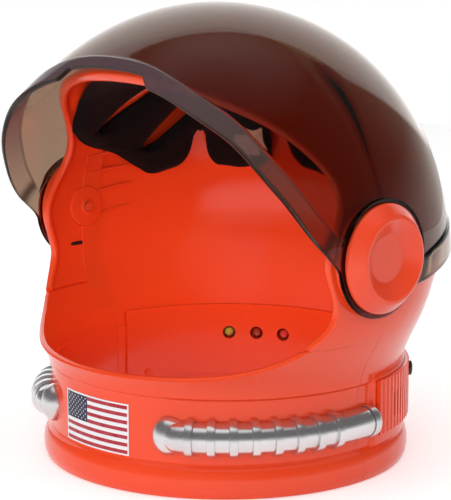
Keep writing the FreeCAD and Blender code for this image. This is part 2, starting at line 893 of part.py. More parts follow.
def flute_outline(inner, outer):
    """Return the plan of the cover: a ring piece whose outside is a row of round flutes."""
    start = mm("cover_start_angle")
    end = cover_end_angle()
    count = int(mm("flute_count"))
    step = (end - start) / count
    edges = []
    for index in range(count):
        left = start + step * index
        land = around(outer, left + 0.4 * step, 0.0)
        groove = around(outer - mm("flute_depth"), left + 0.7 * step, 0.0)
        first = around(outer, left, 0.0)
        last = around(outer, left + step, 0.0)
        edges.append(Part.LineSegment(first, land).toShape())
        edges.append(Part.Arc(land, groove, last).toShape())
    edges.append(Part.LineSegment(around(outer, end, 0.0), around(inner, end, 0.0)).toShape())
    middle = around(inner, 0.5 * (start + end), 0.0)
    edges.append(Part.Arc(around(inner, end, 0.0), middle, around(inner, start, 0.0)).toShape())
    edges.append(Part.LineSegment(around(inner, start, 0.0), around(outer, start, 0.0)).toShape())
    return edges


def make_fluted_cover():
    """Build the fluted outer cover with its button hole, speaker slots and battery window."""
    face = Part.Face(Part.Wire(flute_outline(cover_inner(), cover_outer())))
    cover = face.extrude(vec(0, 0, mm("cover_high") - mm("cover_low")))
    cover.translate(vec(0, 0, mm("cover_low")))
    near = cover_inner() - 2.0
    far = cover_outer() + 2.0
    cover = cover.cut(radial_cylinder(mm("button_radius") + 0.25, near, far,
                                      mm("button_angle"), mm("button_level")))
    start = mm("cover_start_angle")
    step = (cover_end_angle() - start) / int(mm("flute_count"))
    first_groove = round((mm("speaker_angle") - start) / step) - 3
    for index in range(5):
        middle = start + step * (first_groove + index + 0.7)
        slot = ring_sector(near, far, mm("speaker_level") - 7.0, mm("speaker_level") + 7.0,
                           middle - 0.25 * step, middle + 0.25 * step)
        cover = cover.cut(slot)
    gap = math.degrees(mm("fit_gap") / cover_outer())
    window = ring_sector(near, far, mm("door_low") - mm("fit_gap"), mm("door_high") + mm("fit_gap"),
                         90.0 - door_half_angle() - gap, 90.0 + door_half_angle() + gap)
    shaped("fluted_cover", cover.cut(window))


def door_screw_level():
    """Return the height of the battery door's screw, above the cells."""
    return mm("door_high") - 2.6


def cell_far_radius():
    """Return how far from the axis the cells reach, just inside the cover."""
    return cover_inner() - 0.5


def cell_spacing():
    """Return the angle between neighbouring cells, which leaves a gap between their inner rims."""
    pitch = 2.0 * mm("cell_radius") + mm("cell_gap")
    return math.degrees(2.0 * math.asin(0.5 * pitch / (cell_far_radius() - mm("cell_depth"))))


def door_half_angle():
    """Return half the battery door's angle, which covers the three cells and a margin."""
    side = mm("cell_radius") + mm("door_margin")
    return cell_spacing() + math.degrees(side / (cell_far_radius() - mm("cell_depth")))


def make_battery():
    """Build the battery door with its screw, the tray, the cells and the contact strip."""
    half = door_half_angle()
    door = ring_sector(cover_inner(), cover_outer(), mm("door_low"), mm("door_high"),
                       90.0 - half, 90.0 + half)
    screw_hole = radial_cylinder(1.3, cover_inner() - 1.0, cover_outer() + 1.0, 90.0,
                                 door_screw_level())
    shaped("battery_door", door.cut(screw_hole))
    outer = cover_inner() - 0.2
    inner = liner_outer() + 0.5
    tray_half = half - 1.0
    low = mm("cell_level") - mm("cell_radius") - 2.0
    high = mm("door_high") - 0.2
    tray = ring_sector(inner, outer, low, high, 90.0 - tray_half, 90.0 + tray_half)
    cells = []
    for index in (-1, 0, 1):
        angle = 90.0 + index * cell_spacing()
        bore = radial_cylinder(mm("cell_radius") + 0.2, inner - 2.0, outer + 2.0,
                               angle, mm("cell_level"))
        tray = tray.cut(bore)
        cell = DOCUMENT.addObject("Part::Cylinder", "cell_" + str(index + 1))
        cell.setExpression("Radius", "dims.cell_radius")
        cell.setExpression("Height", "dims.cell_depth")
        start = around(cell_far_radius() - mm("cell_depth"), angle, mm("cell_level"))
        cell.Placement = FreeCAD.Placement(start, radial_placement(angle, 0.0).Rotation)
        cells.append(cell)
    pilot = radial_cylinder(1.0, inner + 1.0, outer + 1.0, 90.0, door_screw_level())
    shaped("battery_tray", tray.cut(pilot))
    group = DOCUMENT.addObject("Part::Compound", "cells")
    group.Links = cells
    keep("button_cells", group)
    strip = ring_sector(liner_outer() + 0.05, liner_outer() + 0.35,
                        mm("cell_level") - 2.5, mm("cell_level") + 2.5,
                        90.0 - 1.4 * cell_spacing(), 90.0 + 1.4 * cell_spacing())
    shaped("battery_contact", strip.cut(ring_sector(
        liner_outer() - 2.0, liner_outer() + 0.9 - 0.55, mm("cell_level") + 2.4,
        mm("cell_level") + 3.0, 80.0, 100.0)))
    head = as_size(cover_outer() + 0.1)
    turned_body("door_screw", [
        (as_size(0.0), head - 0.0 + 1.2),
        (as_size(2.2), head + 1.2),
        (as_size(2.2), head),
        (as_size(0.9), head),
        (as_size(0.9), head - 7.0),
        (as_size(0.0), head - 7.0),
    ], radial_placement(90.0, door_screw_level()))


def make_liner():
    """Build the compartment's inner cover with its light holes and its screws."""
    outer = liner_outer()
    inner = outer - mm("liner_wall")
    start = mm("cover_start_angle") - 4.0
    end = cover_end_angle() + 4.0
    liner = ring_sector(inner, outer, mm("liner_low"), mm("liner_high"), start, end)
    flange_low = mm("liner_high") - mm("liner_wall")
    width, front, rear, middle, front_power, rear_power = section_sizes(flange_low)
    reach = min(width, rear + middle) - mm("shell_wall") - mm("fit_gap")
    flange = ring_sector(outer - 0.5, reach, flange_low, mm("liner_high"), start, end)
    liner = liner.fuse(flange)
    for angle in light_angles():
        liner = liner.cut(radial_cylinder(mm("light_hole_radius"), inner - 1.0, outer + 0.5,
                                          angle, mm("light_level")))
    screws = []
    for index, angle in enumerate(screw_angles()):
        liner = liner.cut(radial_cylinder(1.3, inner - 1.0, outer + 1.0, angle, screw_level()))
        shank = DOCUMENT.addObject("Part::Cylinder", "liner_screw_shank")
        shank.Radius = 1.0
        shank.Height = 6.5
        shank.Placement = FreeCAD.Placement(
            around(inner - 0.4, angle, screw_level()), radial_placement(angle, 0.0).Rotation)
        head = DOCUMENT.addObject("Part::Cylinder", "liner_screw_head")
        head.Radius = 2.2
        head.Height = 1.3
        head.Placement = FreeCAD.Placement(
            around(inner - 1.35, angle, screw_level()), radial_placement(angle, 0.0).Rotation)
        screws.append(fused("liner_screw_" + str(index + 1), [shank, head]))
    shaped("inner_cover", liner)
    group = DOCUMENT.addObject("Part::Compound", "liner_screw_group")
    group.Links = screws
    keep("inner_cover_screws", group)


def light_angles():
    """Return the azimuths of the red, amber and green lights."""
    middle = mm("light_middle_angle")
    return [middle - mm("light_spacing"), middle, middle + mm("light_spacing")]


def make_lights():
    """Build the three dome lights and the flexible strip that carries them."""
    strip_outer = cover_inner() - 0.2
    strip_inner = strip_outer - mm("strip_wall")
    base = strip_inner - 0.1
    tip = liner_outer() - mm("liner_wall") + 0.5
    for name, angle in zip(("light_red", "light_amber", "light_green"), light_angles()):
        flange = DOCUMENT.addObject("Part::Cylinder", name + "_flange")
        flange.setExpression("Radius", "dims.light_flange_radius")
        flange.Height = 1.0
        turn = radial_placement(angle, 0.0).Rotation
        level = mm("light_level")
        flange.Placement = FreeCAD.Placement(around(base - 1.0, angle, level), turn)
        barrel = DOCUMENT.addObject("Part::Cylinder", name + "_barrel")
        barrel.setExpression("Radius", "dims.light_radius")
        dome_middle = tip + mm("light_radius")
        barrel.Height = base - dome_middle
        barrel.Placement = FreeCAD.Placement(around(dome_middle, angle, level), turn)
        dome = DOCUMENT.addObject("Part::Sphere", name + "_dome")
        dome.setExpression("Radius", "dims.light_radius")
        dome.Placement = FreeCAD.Placement(around(dome_middle, angle, level), turn)
        keep(name, fused(name + "_whole", [flange, barrel, dome]))
    half = 0.5 * mm("light_strip_height")
    spread = mm("light_spacing") + 3.0
    shaped("light_strip", ring_sector(
        strip_inner, strip_outer, mm("light_level") - half, mm("light_level") + half,
        mm("light_middle_angle") - spread, mm("light_middle_angle") + spread))


def make_button():
    """Build the sprung sound button and the switch that it presses."""
    angle = mm("button_angle")
    placement = radial_placement(angle, mm("button_level"))
    seat = as_size(cover_inner())
    flange_top = seat - 0.4
    flange_low = flange_top - 1.2
    tip = as_size(cover_outer()) + size("button_proud")
    radius = size("button_radius")
    turned_body("sound_button", [
        (as_size(0.0), flange_low),
        (radius + 1.0, flange_low),
        (radius + 1.0, flange_top),
        (radius, flange_top),
        (radius, tip - 0.8),
        (radius - 1.2, tip),
        (as_size(0.0), tip),
    ], placement)
    plunger_top = flange_low - size("button_travel") - 0.15
    body_top = plunger_top - 1.0
    switch_low = as_size(liner_outer() + 0.4)
    turned_body("button_switch", [
        (as_size(0.0), switch_low),
        (as_size(5.0), switch_low),
        (as_size(5.0), body_top),
        (as_size(1.8), body_top),
        (as_size(1.8), plunger_top),
        (as_size(0.0), plunger_top),
    ], placement)


def make_speaker():
    """Build the speaker and its foam gasket behind the slotted flutes."""
    placement = radial_placement(mm("speaker_angle"), mm("speaker_level"))
    back = as_size(liner_outer() + 0.9)
    front = back + size("speaker_depth")
    radius = size("speaker_radius")
    turned_body("speaker", [
        (as_size(0.0), back),
        (radius * 0.7, back),
        (radius * 0.75, back + 1.2),
        (radius, back + 2.0),
        (radius, front),
        (radius * 0.9, front),
        (radius * 0.45, front - 1.0),
        (as_size(0.0), front - 0.8),
    ], placement)
    turned_body("speaker_gasket", [
        (radius * 0.86, front + 0.1),
        (radius * 0.99, front + 0.1),
        (radius * 0.99, as_size(cover_inner() - 0.6)),
        (radius * 0.86, as_size(cover_inner() - 0.6)),
    ], placement)


def make_sound_board():
    """Build the sound board with its sealed chip, and the wires that join the compartment."""
    half = 0.5 * mm("board_span")
    low = mm("speaker_level") - 0.5 * mm("board_height")
    inner = liner_outer() + 0.5
    board = ring_sector(inner, inner + 1.0, low, low + mm("board_height"),
                        mm("board_angle") - half, mm("board_angle") + half)
    chip = radial_cylinder(4.0, inner + 0.9, inner + 2.2, mm("board_angle"), mm("speaker_level"))
    parts = board.fuse(chip)
    for shift in (-6.5, 6.0):
        can = radial_cylinder(1.9, inner + 0.9, inner + 4.2, mm("board_angle") + shift,
                              mm("speaker_level") + 4.0)
        parts = parts.fuse(can)
    shaped("sound_board", parts)
    start = mm("speaker_angle") + math.degrees((mm("speaker_radius") + 1.0) / cover_inner())
    torus = DOCUMENT.addObject("Part::Torus", "loom_run")
    torus.Angle3 = mm("light_middle_angle") + 8.0 - start
    torus.setExpression("Radius2", "dims.loom_radius")
    torus.Radius1 = cover_inner() - mm("loom_radius") - 0.3
    torus.Placement = FreeCAD.Placement(
        vec(0, 0, mm("loom_level")), FreeCAD.Rotation(vec(0, 0, 1), start))
    keep("wire_loom", torus)


# Crown pad


def pad_slot(angle, top, width):
    """Return the cutter for one slot between two petals, wider towards the pad's rim."""
    outwards = around(1.0, angle, 0.0)
    sideways = around(1.0, angle + 90.0, 0.0)
    low = mm("pad_rim_level") - 20.0
    half = 0.5 * width
    near = outwards * 55.0
    points = [
        near + sideways * (2.6 * half) + vec(0, 0, low),
        near + sideways * (1.5 * half) + vec(0, 0, mm("pad_rim_level") + 8.0),
        near + sideways * half + vec(0, 0, top - half),
    ]
    mirrored = [near - sideways * (1.5 * half) + vec(0, 0, mm("pad_rim_level") + 8.0),
                near - sideways * (2.6 * half) + vec(0, 0, low)]
    left_top = near - sideways * half + vec(0, 0, top - half)
    edges = [
        Part.LineSegment(points[0], points[1]).toShape(),
        Part.LineSegment(points[1], points[2]).toShape(),
        Part.Arc(points[2], near + vec(0, 0, top), left_top).toShape(),
        Part.LineSegment(left_top, mirrored[0]).toShape(),
        Part.LineSegment(mirrored[0], mirrored[1]).toShape(),
        Part.LineSegment(mirrored[1], points[0]).toShape(),
    ]
    face = Part.Face(Part.Wire(edges))
    return face.extrude(outwards * 120.0)


def pad_front_prism():
    """Return the space below and ahead of the pad's slanted front edge."""
    low = mm("pad_rim_level") - 10.0
    side = mm("pad_side_level")
    points = [
        vec(0, 48.0, low),
        vec(0, 38.0, mm("pad_rim_level") + 1.0),
        vec(0, 12.0, side),
        vec(0, -12.0, side + 6.0),
        vec(0, -26.0, side + 14.0),
        vec(0, -38.0, side + 28.0),
        vec(0, mm("pad_front"), side + 56.0),
    ]
    curve = Part.BSplineCurve()
    curve.interpolate(points)
    far_top = vec(0, -200.0, side + 56.0)
    far_low = vec(0, -200.0, low)
    edges = [
        curve.toShape(),
        Part.LineSegment(points[-1], far_top).toShape(),
        Part.LineSegment(far_top, far_low).toShape(),
        Part.LineSegment(far_low, points[0]).toShape(),
    ]
    return side_prism(edges, 2.0 * mm("half_width"))


def make_pad():
    """Build the foam pad under the crown: a thick sheet with petals, and its blank tag."""
    crown = mm("crown_rise") - mm("rear_crown_drop")
    inset = mm("shell_wall") + mm("pad_gap")
    low = mm("shoulder_level")
    outer = helmet_solid(inset, crown, low)
    inner = helmet_solid(inset + mm("pad_wall"), crown, low - 1.0)
    pad = outer.cut(inner).common(level_slab(mm("pad_rim_level"), 400.0))
    pad = pad.cut(pad_front_prism())
    slots = ((0.0, 53.0, 0.35), (22.0, 45.0, 1.0), (37.0, 35.0, 0.6), (58.0, 31.0, 1.4))
    for angle, rise, share in slots:
        for turn in (angle, 180.0 - angle):
            top = mm("pad_rim_level") + rise
            pad = pad.cut(pad_slot(turn, top, mm("pad_slot_width") * share))
    shaped("crown_pad", pad)
    tag_inner = helmet_solid(inset + mm("pad_wall") + 0.5, crown, low)
    tag_core = helmet_solid(inset + mm("pad_wall") + 0.9, crown, low - 1.0)
    tag_box = Part.makeBox(mm("tag_width"), 60.0, mm("tag_height"),
                           vec(-0.5 * mm("tag_width"), 50.0, mm("pad_rim_level") + 14.0))
    tag_box.rotate(vec(0, 0, 0), vec(0, 0, 1), 34.0)
    shaped("pad_tag", tag_inner.cut(tag_core).common(tag_box))


def check_and_write():
    """Recompute, stop if any feature failed, and write each node's solids."""
    DOCUMENT.recompute()
    for feature in DOCUMENT.Objects:
        if "Invalid" in feature.State or "Error" in feature.State:
            raise RuntimeError("failed feature: " + feature.Label)
    for name, feature in NODES.items():
        shape = feature.Shape
        if shape.isNull() or not shape.isValid() or not shape.Solids:
            raise RuntimeError("bad shape: " + name)
    os.makedirs("parts", exist_ok=True)
    for name, feature in NODES.items():
        feature.Shape.exportStep("parts/" + name + ".step")
        print(name, len(feature.Shape.Solids), round(feature.Shape.Volume, 1))


fill_sheet()
make_shells()
make_visor()
make_ear("left", 1)
make_ear("right", -1)
make_hose("hose_left", 1)
make_hose("hose_right", -1)
make_label()
make_fluted_cover()
make_battery()
make_liner()
make_lights()
make_button()
make_speaker()
make_sound_board()
make_pad()
check_and_write()
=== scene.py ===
"""Looks of the play astronaut helmet: smooth shells, smoke visor, hoses, pad, label and lights.

Sizes are in millimetres until a mesh is written, and the frame is the CAD model's: +Z up, the
face opening towards -Y, the wearer's left towards +X.
"""
import logging
import math
from dataclasses import dataclass, field
from enum import Enum
from typing import Callable, Dict, List, Optional, Sequence, Tuple

import bpy
import numpy as np
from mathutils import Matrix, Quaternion, Vector


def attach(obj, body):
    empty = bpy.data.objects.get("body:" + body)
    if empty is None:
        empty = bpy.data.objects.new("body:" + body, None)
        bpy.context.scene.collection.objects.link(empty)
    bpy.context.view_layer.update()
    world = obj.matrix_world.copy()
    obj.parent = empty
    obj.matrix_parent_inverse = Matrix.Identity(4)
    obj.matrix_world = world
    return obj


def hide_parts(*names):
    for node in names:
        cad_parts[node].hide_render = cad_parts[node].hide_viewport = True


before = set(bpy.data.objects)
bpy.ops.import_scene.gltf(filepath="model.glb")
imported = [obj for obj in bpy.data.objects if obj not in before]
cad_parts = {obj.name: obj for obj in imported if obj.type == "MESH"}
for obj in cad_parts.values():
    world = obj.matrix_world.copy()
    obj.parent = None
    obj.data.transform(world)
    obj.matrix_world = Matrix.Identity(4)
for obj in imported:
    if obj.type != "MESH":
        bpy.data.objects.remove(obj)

LOG = logging.getLogger("helmet")
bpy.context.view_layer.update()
Colour = Tuple[float, float, float]
HEART = np.array([0.0, -4.0, 135.0])
PIVOT = np.array([0.0, -7.0, 135.0])
SIDES = ((1, "left"), (-1, "right"))
MERGE = 0.002
HALVINGS = 34
Pair = Tuple[np.ndarray, np.ndarray]


class Body(Enum):
    """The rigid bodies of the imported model."""

    HELMET = "helmet"
    VISOR = "visor"
    BUTTON = "button"


class Half(Enum):
    """Which of the two crown forms a surface follows."""

    FRONT = "front"
    REAR = "rear"
    LINING = "lining"


# Number work shared by the pieces


def smoothstep(value: np.ndarray) -> np.ndarray:
    """Return 0 below 0, 1 above 1 and three squares minus two cubes between."""
    share = np.clip(value, 0.0, 1.0)
    return share * share * (3.0 - 2.0 * share)


def lengths(points: np.ndarray) -> np.ndarray:
    """Return the length of a polyline from its first point to each of its points."""
    return np.concatenate([[0.0], np.cumsum(np.linalg.norm(np.diff(points, axis=0), axis=1))])


def smooth_line(knots: Sequence[Sequence[float]], count: int) -> np.ndarray:
    """Carry a natural cubic through knots, with the chord length as its parameter.

    Args:
        knots: the points that the line passes through, of any dimension.
        count: how many points to return, even in chord length.
    Returns:
        An array of count points.
    """
    points = np.asarray(knots, float)
    chord = lengths(points)
    step = np.diff(chord)
    slope = np.diff(points, axis=0) / step[:, None]
    size = len(points)
    system = np.eye(size)
    inner = np.arange(1, size - 1)
    system[inner, inner - 1] = step[:-1]
    system[inner, inner] = 2.0 * (step[:-1] + step[1:])
    system[inner, inner + 1] = step[1:]
    right = np.zeros_like(points)
    right[1:-1] = 6.0 * np.diff(slope, axis=0)
    bend = np.linalg.solve(system, right)
    where = np.linspace(0.0, chord[-1], count)
    left = np.clip(np.searchsorted(chord, where, side="right") - 1, 0, size - 2)
    width = step[left][:, None]
    ahead = (chord[left + 1] - where)[:, None]
    behind = (where - chord[left])[:, None]
    return (
        bend[left] * ahead ** 3 / (6.0 * width)
        + bend[left + 1] * behind ** 3 / (6.0 * width)
        + (points[left] / width - bend[left] * width / 6.0) * ahead
        + (points[left + 1] / width - bend[left + 1] * width / 6.0) * behind
    )


def even_steps(points: np.ndarray, count: int) -> np.ndarray:
    """Return count points along a polyline at even lengths.

    Args:
        points: the polyline.
        count: how many points to return.
    Returns:
        The points, first and last as given.
    """
    length = lengths(points)
    where = np.linspace(0.0, length[-1], count)
    return np.stack([np.interp(where, length, points[:, k]) for k in range(points.shape[1])], 1)


def mirrored_rows(rows: np.ndarray) -> np.ndarray:
    """Return rows that start on the middle plane, with their mirror image in X before them.

    Args:
        rows: points, the first row at X 0.
    Returns:
        The points from one side to the other.
    """
    flipped = rows[::-1].copy()
    flipped[..., 0] *= -1.0
    return np.concatenate([flipped[:-1], rows])


def unit(vectors: np.ndarray) -> np.ndarray:
    """Return vectors scaled to length one."""
    return vectors / np.maximum(np.linalg.norm(vectors, axis=-1, keepdims=True), 1e-12)


def between_directions(start: np.ndarray, end: np.ndarray, share: np.ndarray) -> np.ndarray:
    """Turn evenly from one direction to another on the great circle through both.

    Args:
        start: unit vectors, one per row.
        end: unit vectors, one per row.
        share: how far along, one per column.
    Returns:
        Unit vectors, rows by columns.
    """
    angle = np.arccos(np.clip((start * end).sum(1), -1.0, 1.0))[:, None]
    angle = np.maximum(angle, 1e-6)
    first = np.sin((1.0 - share)[None, :] * angle) / np.sin(angle)
    second = np.sin(share[None, :] * angle) / np.sin(angle)
    return unit(first[..., None] * start[:, None, :] + second[..., None] * end[:, None, :])


def grid_faces(rows: int, columns: int, closed: bool = False) -> np.ndarray:
    """Return the quads of a grid, row by row, joined round its columns if closed.

    Args:
        rows: rows of points.
        columns: columns of points.
        closed: whether the last column joins the first.
    Returns:
        Four indices per quad.
    """
    row = np.arange(rows - 1)[:, None] * columns
    column = np.arange(columns if closed else columns - 1)[None, :]
    after = (column + 1) % columns
    quads = [row + column, row + after, row + columns + after, row + columns + column]
    return np.stack([np.broadcast_to(q, (rows - 1, column.size)) for q in quads], -1).reshape(-1, 4)


def grid_normals(points: np.ndarray) -> np.ndarray:
    """Return the unit normals of a grid, the cross product of its two directions' slopes.

    Args:
        points: rows by columns of points.
    Returns:
        A unit vector per point.
    """
    along_rows = np.gradient(points, axis=0)
    along_columns = np.gradient(points, axis=1)
    return unit(np.cross(along_columns, along_rows))


def outward_normals(points: np.ndarray) -> np.ndarray:
    """Return a grid's unit normals, turned away from the heart."""
    normal = grid_normals(points)
    return normal * np.sign((normal * (points - HEART)).sum(-1, keepdims=True))


def signed_power(value: np.ndarray, power: np.ndarray) -> np.ndarray:
    """Return value's size to a power, with value's sign."""
    return np.sign(value) * np.abs(value) ** power


def halved(low: np.ndarray, high: np.ndarray,
           outside: Callable[[np.ndarray], np.ndarray]) -> np.ndarray:
    """Close in on the border between inside and outside by halving the span.

    Args:
        low: values that lie inside.
        high: values that lie outside.
        outside: returns True for each value that lies outside.
    Returns:
        The values at the border.
    """
    for _ in range(HALVINGS):
        middle = 0.5 * (low + high)
        out = outside(middle)
        high = np.where(out, middle, high)
        low = np.where(out, low, middle)
    return 0.5 * (low + high)


def merged_points(points: np.ndarray) -> Pair:
    """Find the points that fall into one cell of MERGE millimetres.

    Args:
        points: places in millimetres.
    Returns:
        The index of each cell's first point, and the cell of each point.
    """
    keys = np.round(points / MERGE).astype(np.int64)
    _, first, back = np.unique(keys, axis=0, return_index=True, return_inverse=True)
    return first, back.reshape(-1)


def joined(solids: Sequence[Pair]) -> Pair:
    """Join several solids, given as points and quads, into one pair of arrays.

    Args:
        solids: points and quads of each.
    Returns:
        All points, and all quads counted on through them.
    """
    starts = np.cumsum([0] + [len(points) for points, _ in solids[:-1]])
    return (np.concatenate([points for points, _ in solids]),
            np.concatenate([quads + start for (_, quads), start in zip(solids, starts)]))


def rings_along(spine: np.ndarray, wide: np.ndarray, tall: np.ndarray, flat: float,
                count: int) -> np.ndarray:
    """Put an ellipse in the XZ plane at each point of a line.

    A ring is the spine plus wide times a cosine along X and tall times flat times a sine
    along Z.

    Args:
        spine: the line's points.
        wide: half width of each ring.
        tall: half height of each ring, before flat.
        flat: what every half height is multiplied by.
        count: places round a ring.
    Returns:
        Points, rings by places.
    """
    around = np.linspace(0.0, 2.0 * np.pi, count, endpoint=False)
    return (spine[:, None, :]
            + wide[:, None, None] * np.cos(around)[None, :, None] * np.array([1.0, 0.0, 0.0])
            + tall[:, None, None] * np.sin(around)[None, :, None] * np.array([0.0, 0.0, flat]))


def capped_tube(rings: np.ndarray) -> Pair:
    """Join rings into a tube whose two ends are closed by fans.

    Args:
        rings: points, rings by places round them.
    Returns:
        Points and quads of the closed tube.
    """
    stations, around = rings.shape[:2]
    corner = np.arange(around)
    fan = np.stack([corner[1:-1] * 0, corner[1:-1], corner[2:], corner[2:]], 1)
    quads = [grid_faces(stations, around, closed=True), fan[:, ::-1],
             fan + (stations - 1) * around]
    return rings.reshape(-1, 3), np.concatenate(quads)


@dataclass
class Skin:
    """A sheet of quads with a lift per point, before it gets its thickness."""

    points: np.ndarray
    faces: np.ndarray
    lift: np.ndarray
    inner: Optional[np.ndarray] = None

    def merged(self) -> "Skin":
        """Return the skin with all points of one small cell made one."""
        first, back = merged_points(self.points)
        inner = None if self.inner is None else self.inner[first]
        return Skin(self.points[first], back[self.faces], self.lift[first], inner)

    def used(self) -> "Skin":
        """Return the skin without points that no face has."""
        kept, back = np.unique(self.faces, return_inverse=True)
        inner = None if self.inner is None else self.inner[kept]
        return Skin(self.points[kept], back.reshape(self.faces.shape), self.lift[kept], inner)

    def normals(self) -> np.ndarray:
        """Return a unit normal per point, the sum of its faces' diagonals' cross products."""
        corner = self.points[self.faces]
        cross = np.cross(corner[:, 2] - corner[:, 0], corner[:, 3] - corner[:, 1])
        total = np.zeros_like(self.points)
        for k in range(4):
            np.add.at(total, self.faces[:, k], cross)
        return unit(total)

    def outwards(self, centre: np.ndarray = HEART) -> "Skin":
        """Return the skin with its faces turned away from a centre.

        Args:
            centre: the point that they turn away from.
        Returns:
            The same skin.
        """
        if (self.normals() * (self.points - centre)).sum() < 0:
            self.faces = self.faces[:, ::-1]
        return self

    def rim(self) -> Pair:
        """Return the directed edges that only one face has, and that face's middle.

        Returns:
            Two indices per edge, and the middle of its face.
        """
        starts = self.faces.reshape(-1)
        ends = np.roll(self.faces, -1, axis=1).reshape(-1)
        middles = np.repeat(self.points[self.faces].mean(1), 4, axis=0)
        real = starts != ends
        starts, ends, middles = starts[real], ends[real], middles[real]
        size = len(self.points)
        lone = ~np.isin(starts * size + ends, ends * size + starts)
        return np.stack([starts[lone], ends[lone]], 1), middles[lone]

    def thick(self, wall: float, bulge: float = 0.5, steps: int = 4) -> Pair:
        """Give the sheet a wall and round its free edges.

        The outer side is the sheet raised by its lift along the normal, the inner side lies one
        wall below. Along each free edge, steps - 1 rows of points follow half an ellipse from
        one side to the other, as wide as bulge times half the wall.

        Args:
            wall: thickness in millimetres.
            bulge: how far the rounded edge stands out, as a share of half the wall.
            steps: how many rows of faces round the edge.
        Returns:
            Points and quads of a closed solid.
        """
        normal = self.normals()
        outer = self.points + normal * self.lift[:, None]
        inner = self.points - normal * wall if self.inner is None else self.inner
        edges, middles = self.rim()
        loop, local = np.unique(edges, return_inverse=True)
        local = local.reshape(edges.shape)
        along = np.zeros((len(loop), 3))
        away = np.zeros((len(loop), 3))
        direction = self.points[edges[:, 1]] - self.points[edges[:, 0]]
        reach = self.points[edges].mean(1) - middles
        for k in range(2):
            np.add.at(along, local[:, k], direction)
            np.add.at(away, local[:, k], reach)
        along = unit(along)
        away = away - along * (away * along).sum(1, keepdims=True)
        away = away - normal[loop] * (away * normal[loop]).sum(1, keepdims=True)
        away = unit(away)
        middle = 0.5 * (outer[loop] + inner[loop])
        half = 0.5 * (outer[loop] - inner[loop])
        height = np.linalg.norm(half, axis=1, keepdims=True) * bulge
        size = len(self.points)
        layers = [loop]
        blocks = [outer, inner]
        for k in range(1, steps):
            turn = math.pi * k / steps
            blocks.append(middle + half * math.cos(turn) + away * height * math.sin(turn))
            layers.append(2 * size + (k - 1) * len(loop) + np.arange(len(loop)))
        layers.append(size + loop)
        walls = []
        for upper, lower in zip(layers[:-1], layers[1:]):
            walls.append(np.stack([upper[local[:, 1]], upper[local[:, 0]],
                                   lower[local[:, 0]], lower[local[:, 1]]], 1))
        quads = np.concatenate([self.faces, self.faces[:, ::-1] + size] + walls)
        return np.concatenate(blocks), quads


def one_skin(grids: Sequence[Pair]) -> Skin:
    """Join grids into one merged skin.

    Args:
        grids: points and lift of each grid.
    Returns:
        The skin.
    """
    points, faces = joined([(grid.reshape(-1, 3), grid_faces(*grid.shape[:2]))
                            for grid, _ in grids])
    lifts = [np.broadcast_to(lift, grid.shape[:2]).reshape(-1) for grid, lift in grids]
    return Skin(points, faces, np.concatenate(lifts)).merged()


def turned_solid(profile: np.ndarray, steps: int, low: float = 0.0,
                 high: float = 2.0 * math.pi) -> Pair:
    """Turn a closed outline of (radius, height) points about Z.

    A point goes to radius times cosine and sine of the turn, at its height.

    Args:
        profile: outline points, the last not repeated.
        steps: how many stations round a full turn.
        low: first turn in radians.
        high: last turn in radians.
    Returns:
        Points and quads of the solid, its ends closed by fans if the turn isn't full.
    """
    full = high - low > 2.0 * math.pi - 1e-6
    turns = np.linspace(low, high, steps, endpoint=not full)
    radius, height = profile[:, 0], profile[:, 1]
    ring = np.stack([radius[None, :] * np.cos(turns)[:, None],
                     radius[None, :] * np.sin(turns)[:, None],
                     np.broadcast_to(height, (steps, len(height)))], -1)
    if full:
        ring = np.concatenate([ring, ring[:1]])
    return ring.reshape(-1, 3), grid_faces(len(ring), len(profile), closed=True)


def rounded(corners: Sequence[Tuple[float, float, float]], steps: int = 4) -> np.ndarray:
    """Round the corners of a closed outline with short quadratic curves.

    Each corner is (across, along, cut). The curve leaves its sides cut away from the corner,
    and mixes start, corner and end by the squares of the share.

    Args:
        corners: outline corners with their cut length.
        steps: how many pieces each rounding has.
    Returns:
        The outline's points.
    """
    data = np.asarray(corners, float)
    points, cuts = data[:, :2], data[:, 2]
    before, after = np.roll(points, 1, 0), np.roll(points, -1, 0)
    to_before, to_after = before - points, after - points
    share = np.linspace(0.0, 1.0, steps + 1)[:, None]
    pieces = []
    for k in range(len(points)):
        if cuts[k] <= 0:
            pieces.append(points[k][None, :])
            continue
        first = points[k] + to_before[k] / np.linalg.norm(to_before[k]) * cuts[k]
        last = points[k] + to_after[k] / np.linalg.norm(to_after[k]) * cuts[k]
        pieces.append(first * (1 - share) ** 2 + 2 * points[k] * share * (1 - share)
                      + last * share ** 2)
    return np.concatenate(pieces)


def on_ear(points: np.ndarray, side: int) -> np.ndarray:
    """Lay points built about Z on the pivot axis, their height becoming the distance along X."""
    return np.stack([side * points[:, 2], PIVOT[1] - side * points[:, 1],
                     PIVOT[2] + points[:, 0]], 1)


def on_radius(points: np.ndarray, azimuth: float, level: float) -> np.ndarray:
    """Lay points built about Z along the collar's radius at an azimuth in degrees and a level.

    Args:
        points: points, their Z becoming the distance from the axis.
        azimuth: degrees from the wearer's left towards the rear.
        level: height of the radius.
    Returns:
        The points.
    """
    turn = math.radians(azimuth)
    out = np.array([math.cos(turn), math.sin(turn), 0.0])
    side = np.array([-math.sin(turn), math.cos(turn), 0.0])
    up = np.array([0.0, 0.0, 1.0])
    return (points[:, 2:3] * out + points[:, 0:1] * side + points[:, 1:2] * up
            + np.array([0.0, 0.0, level]))


# Finishes


def dimmed(colour: Colour, share: float) -> Colour:
    """Return a colour multiplied by share."""
    return tuple(c * share for c in colour)


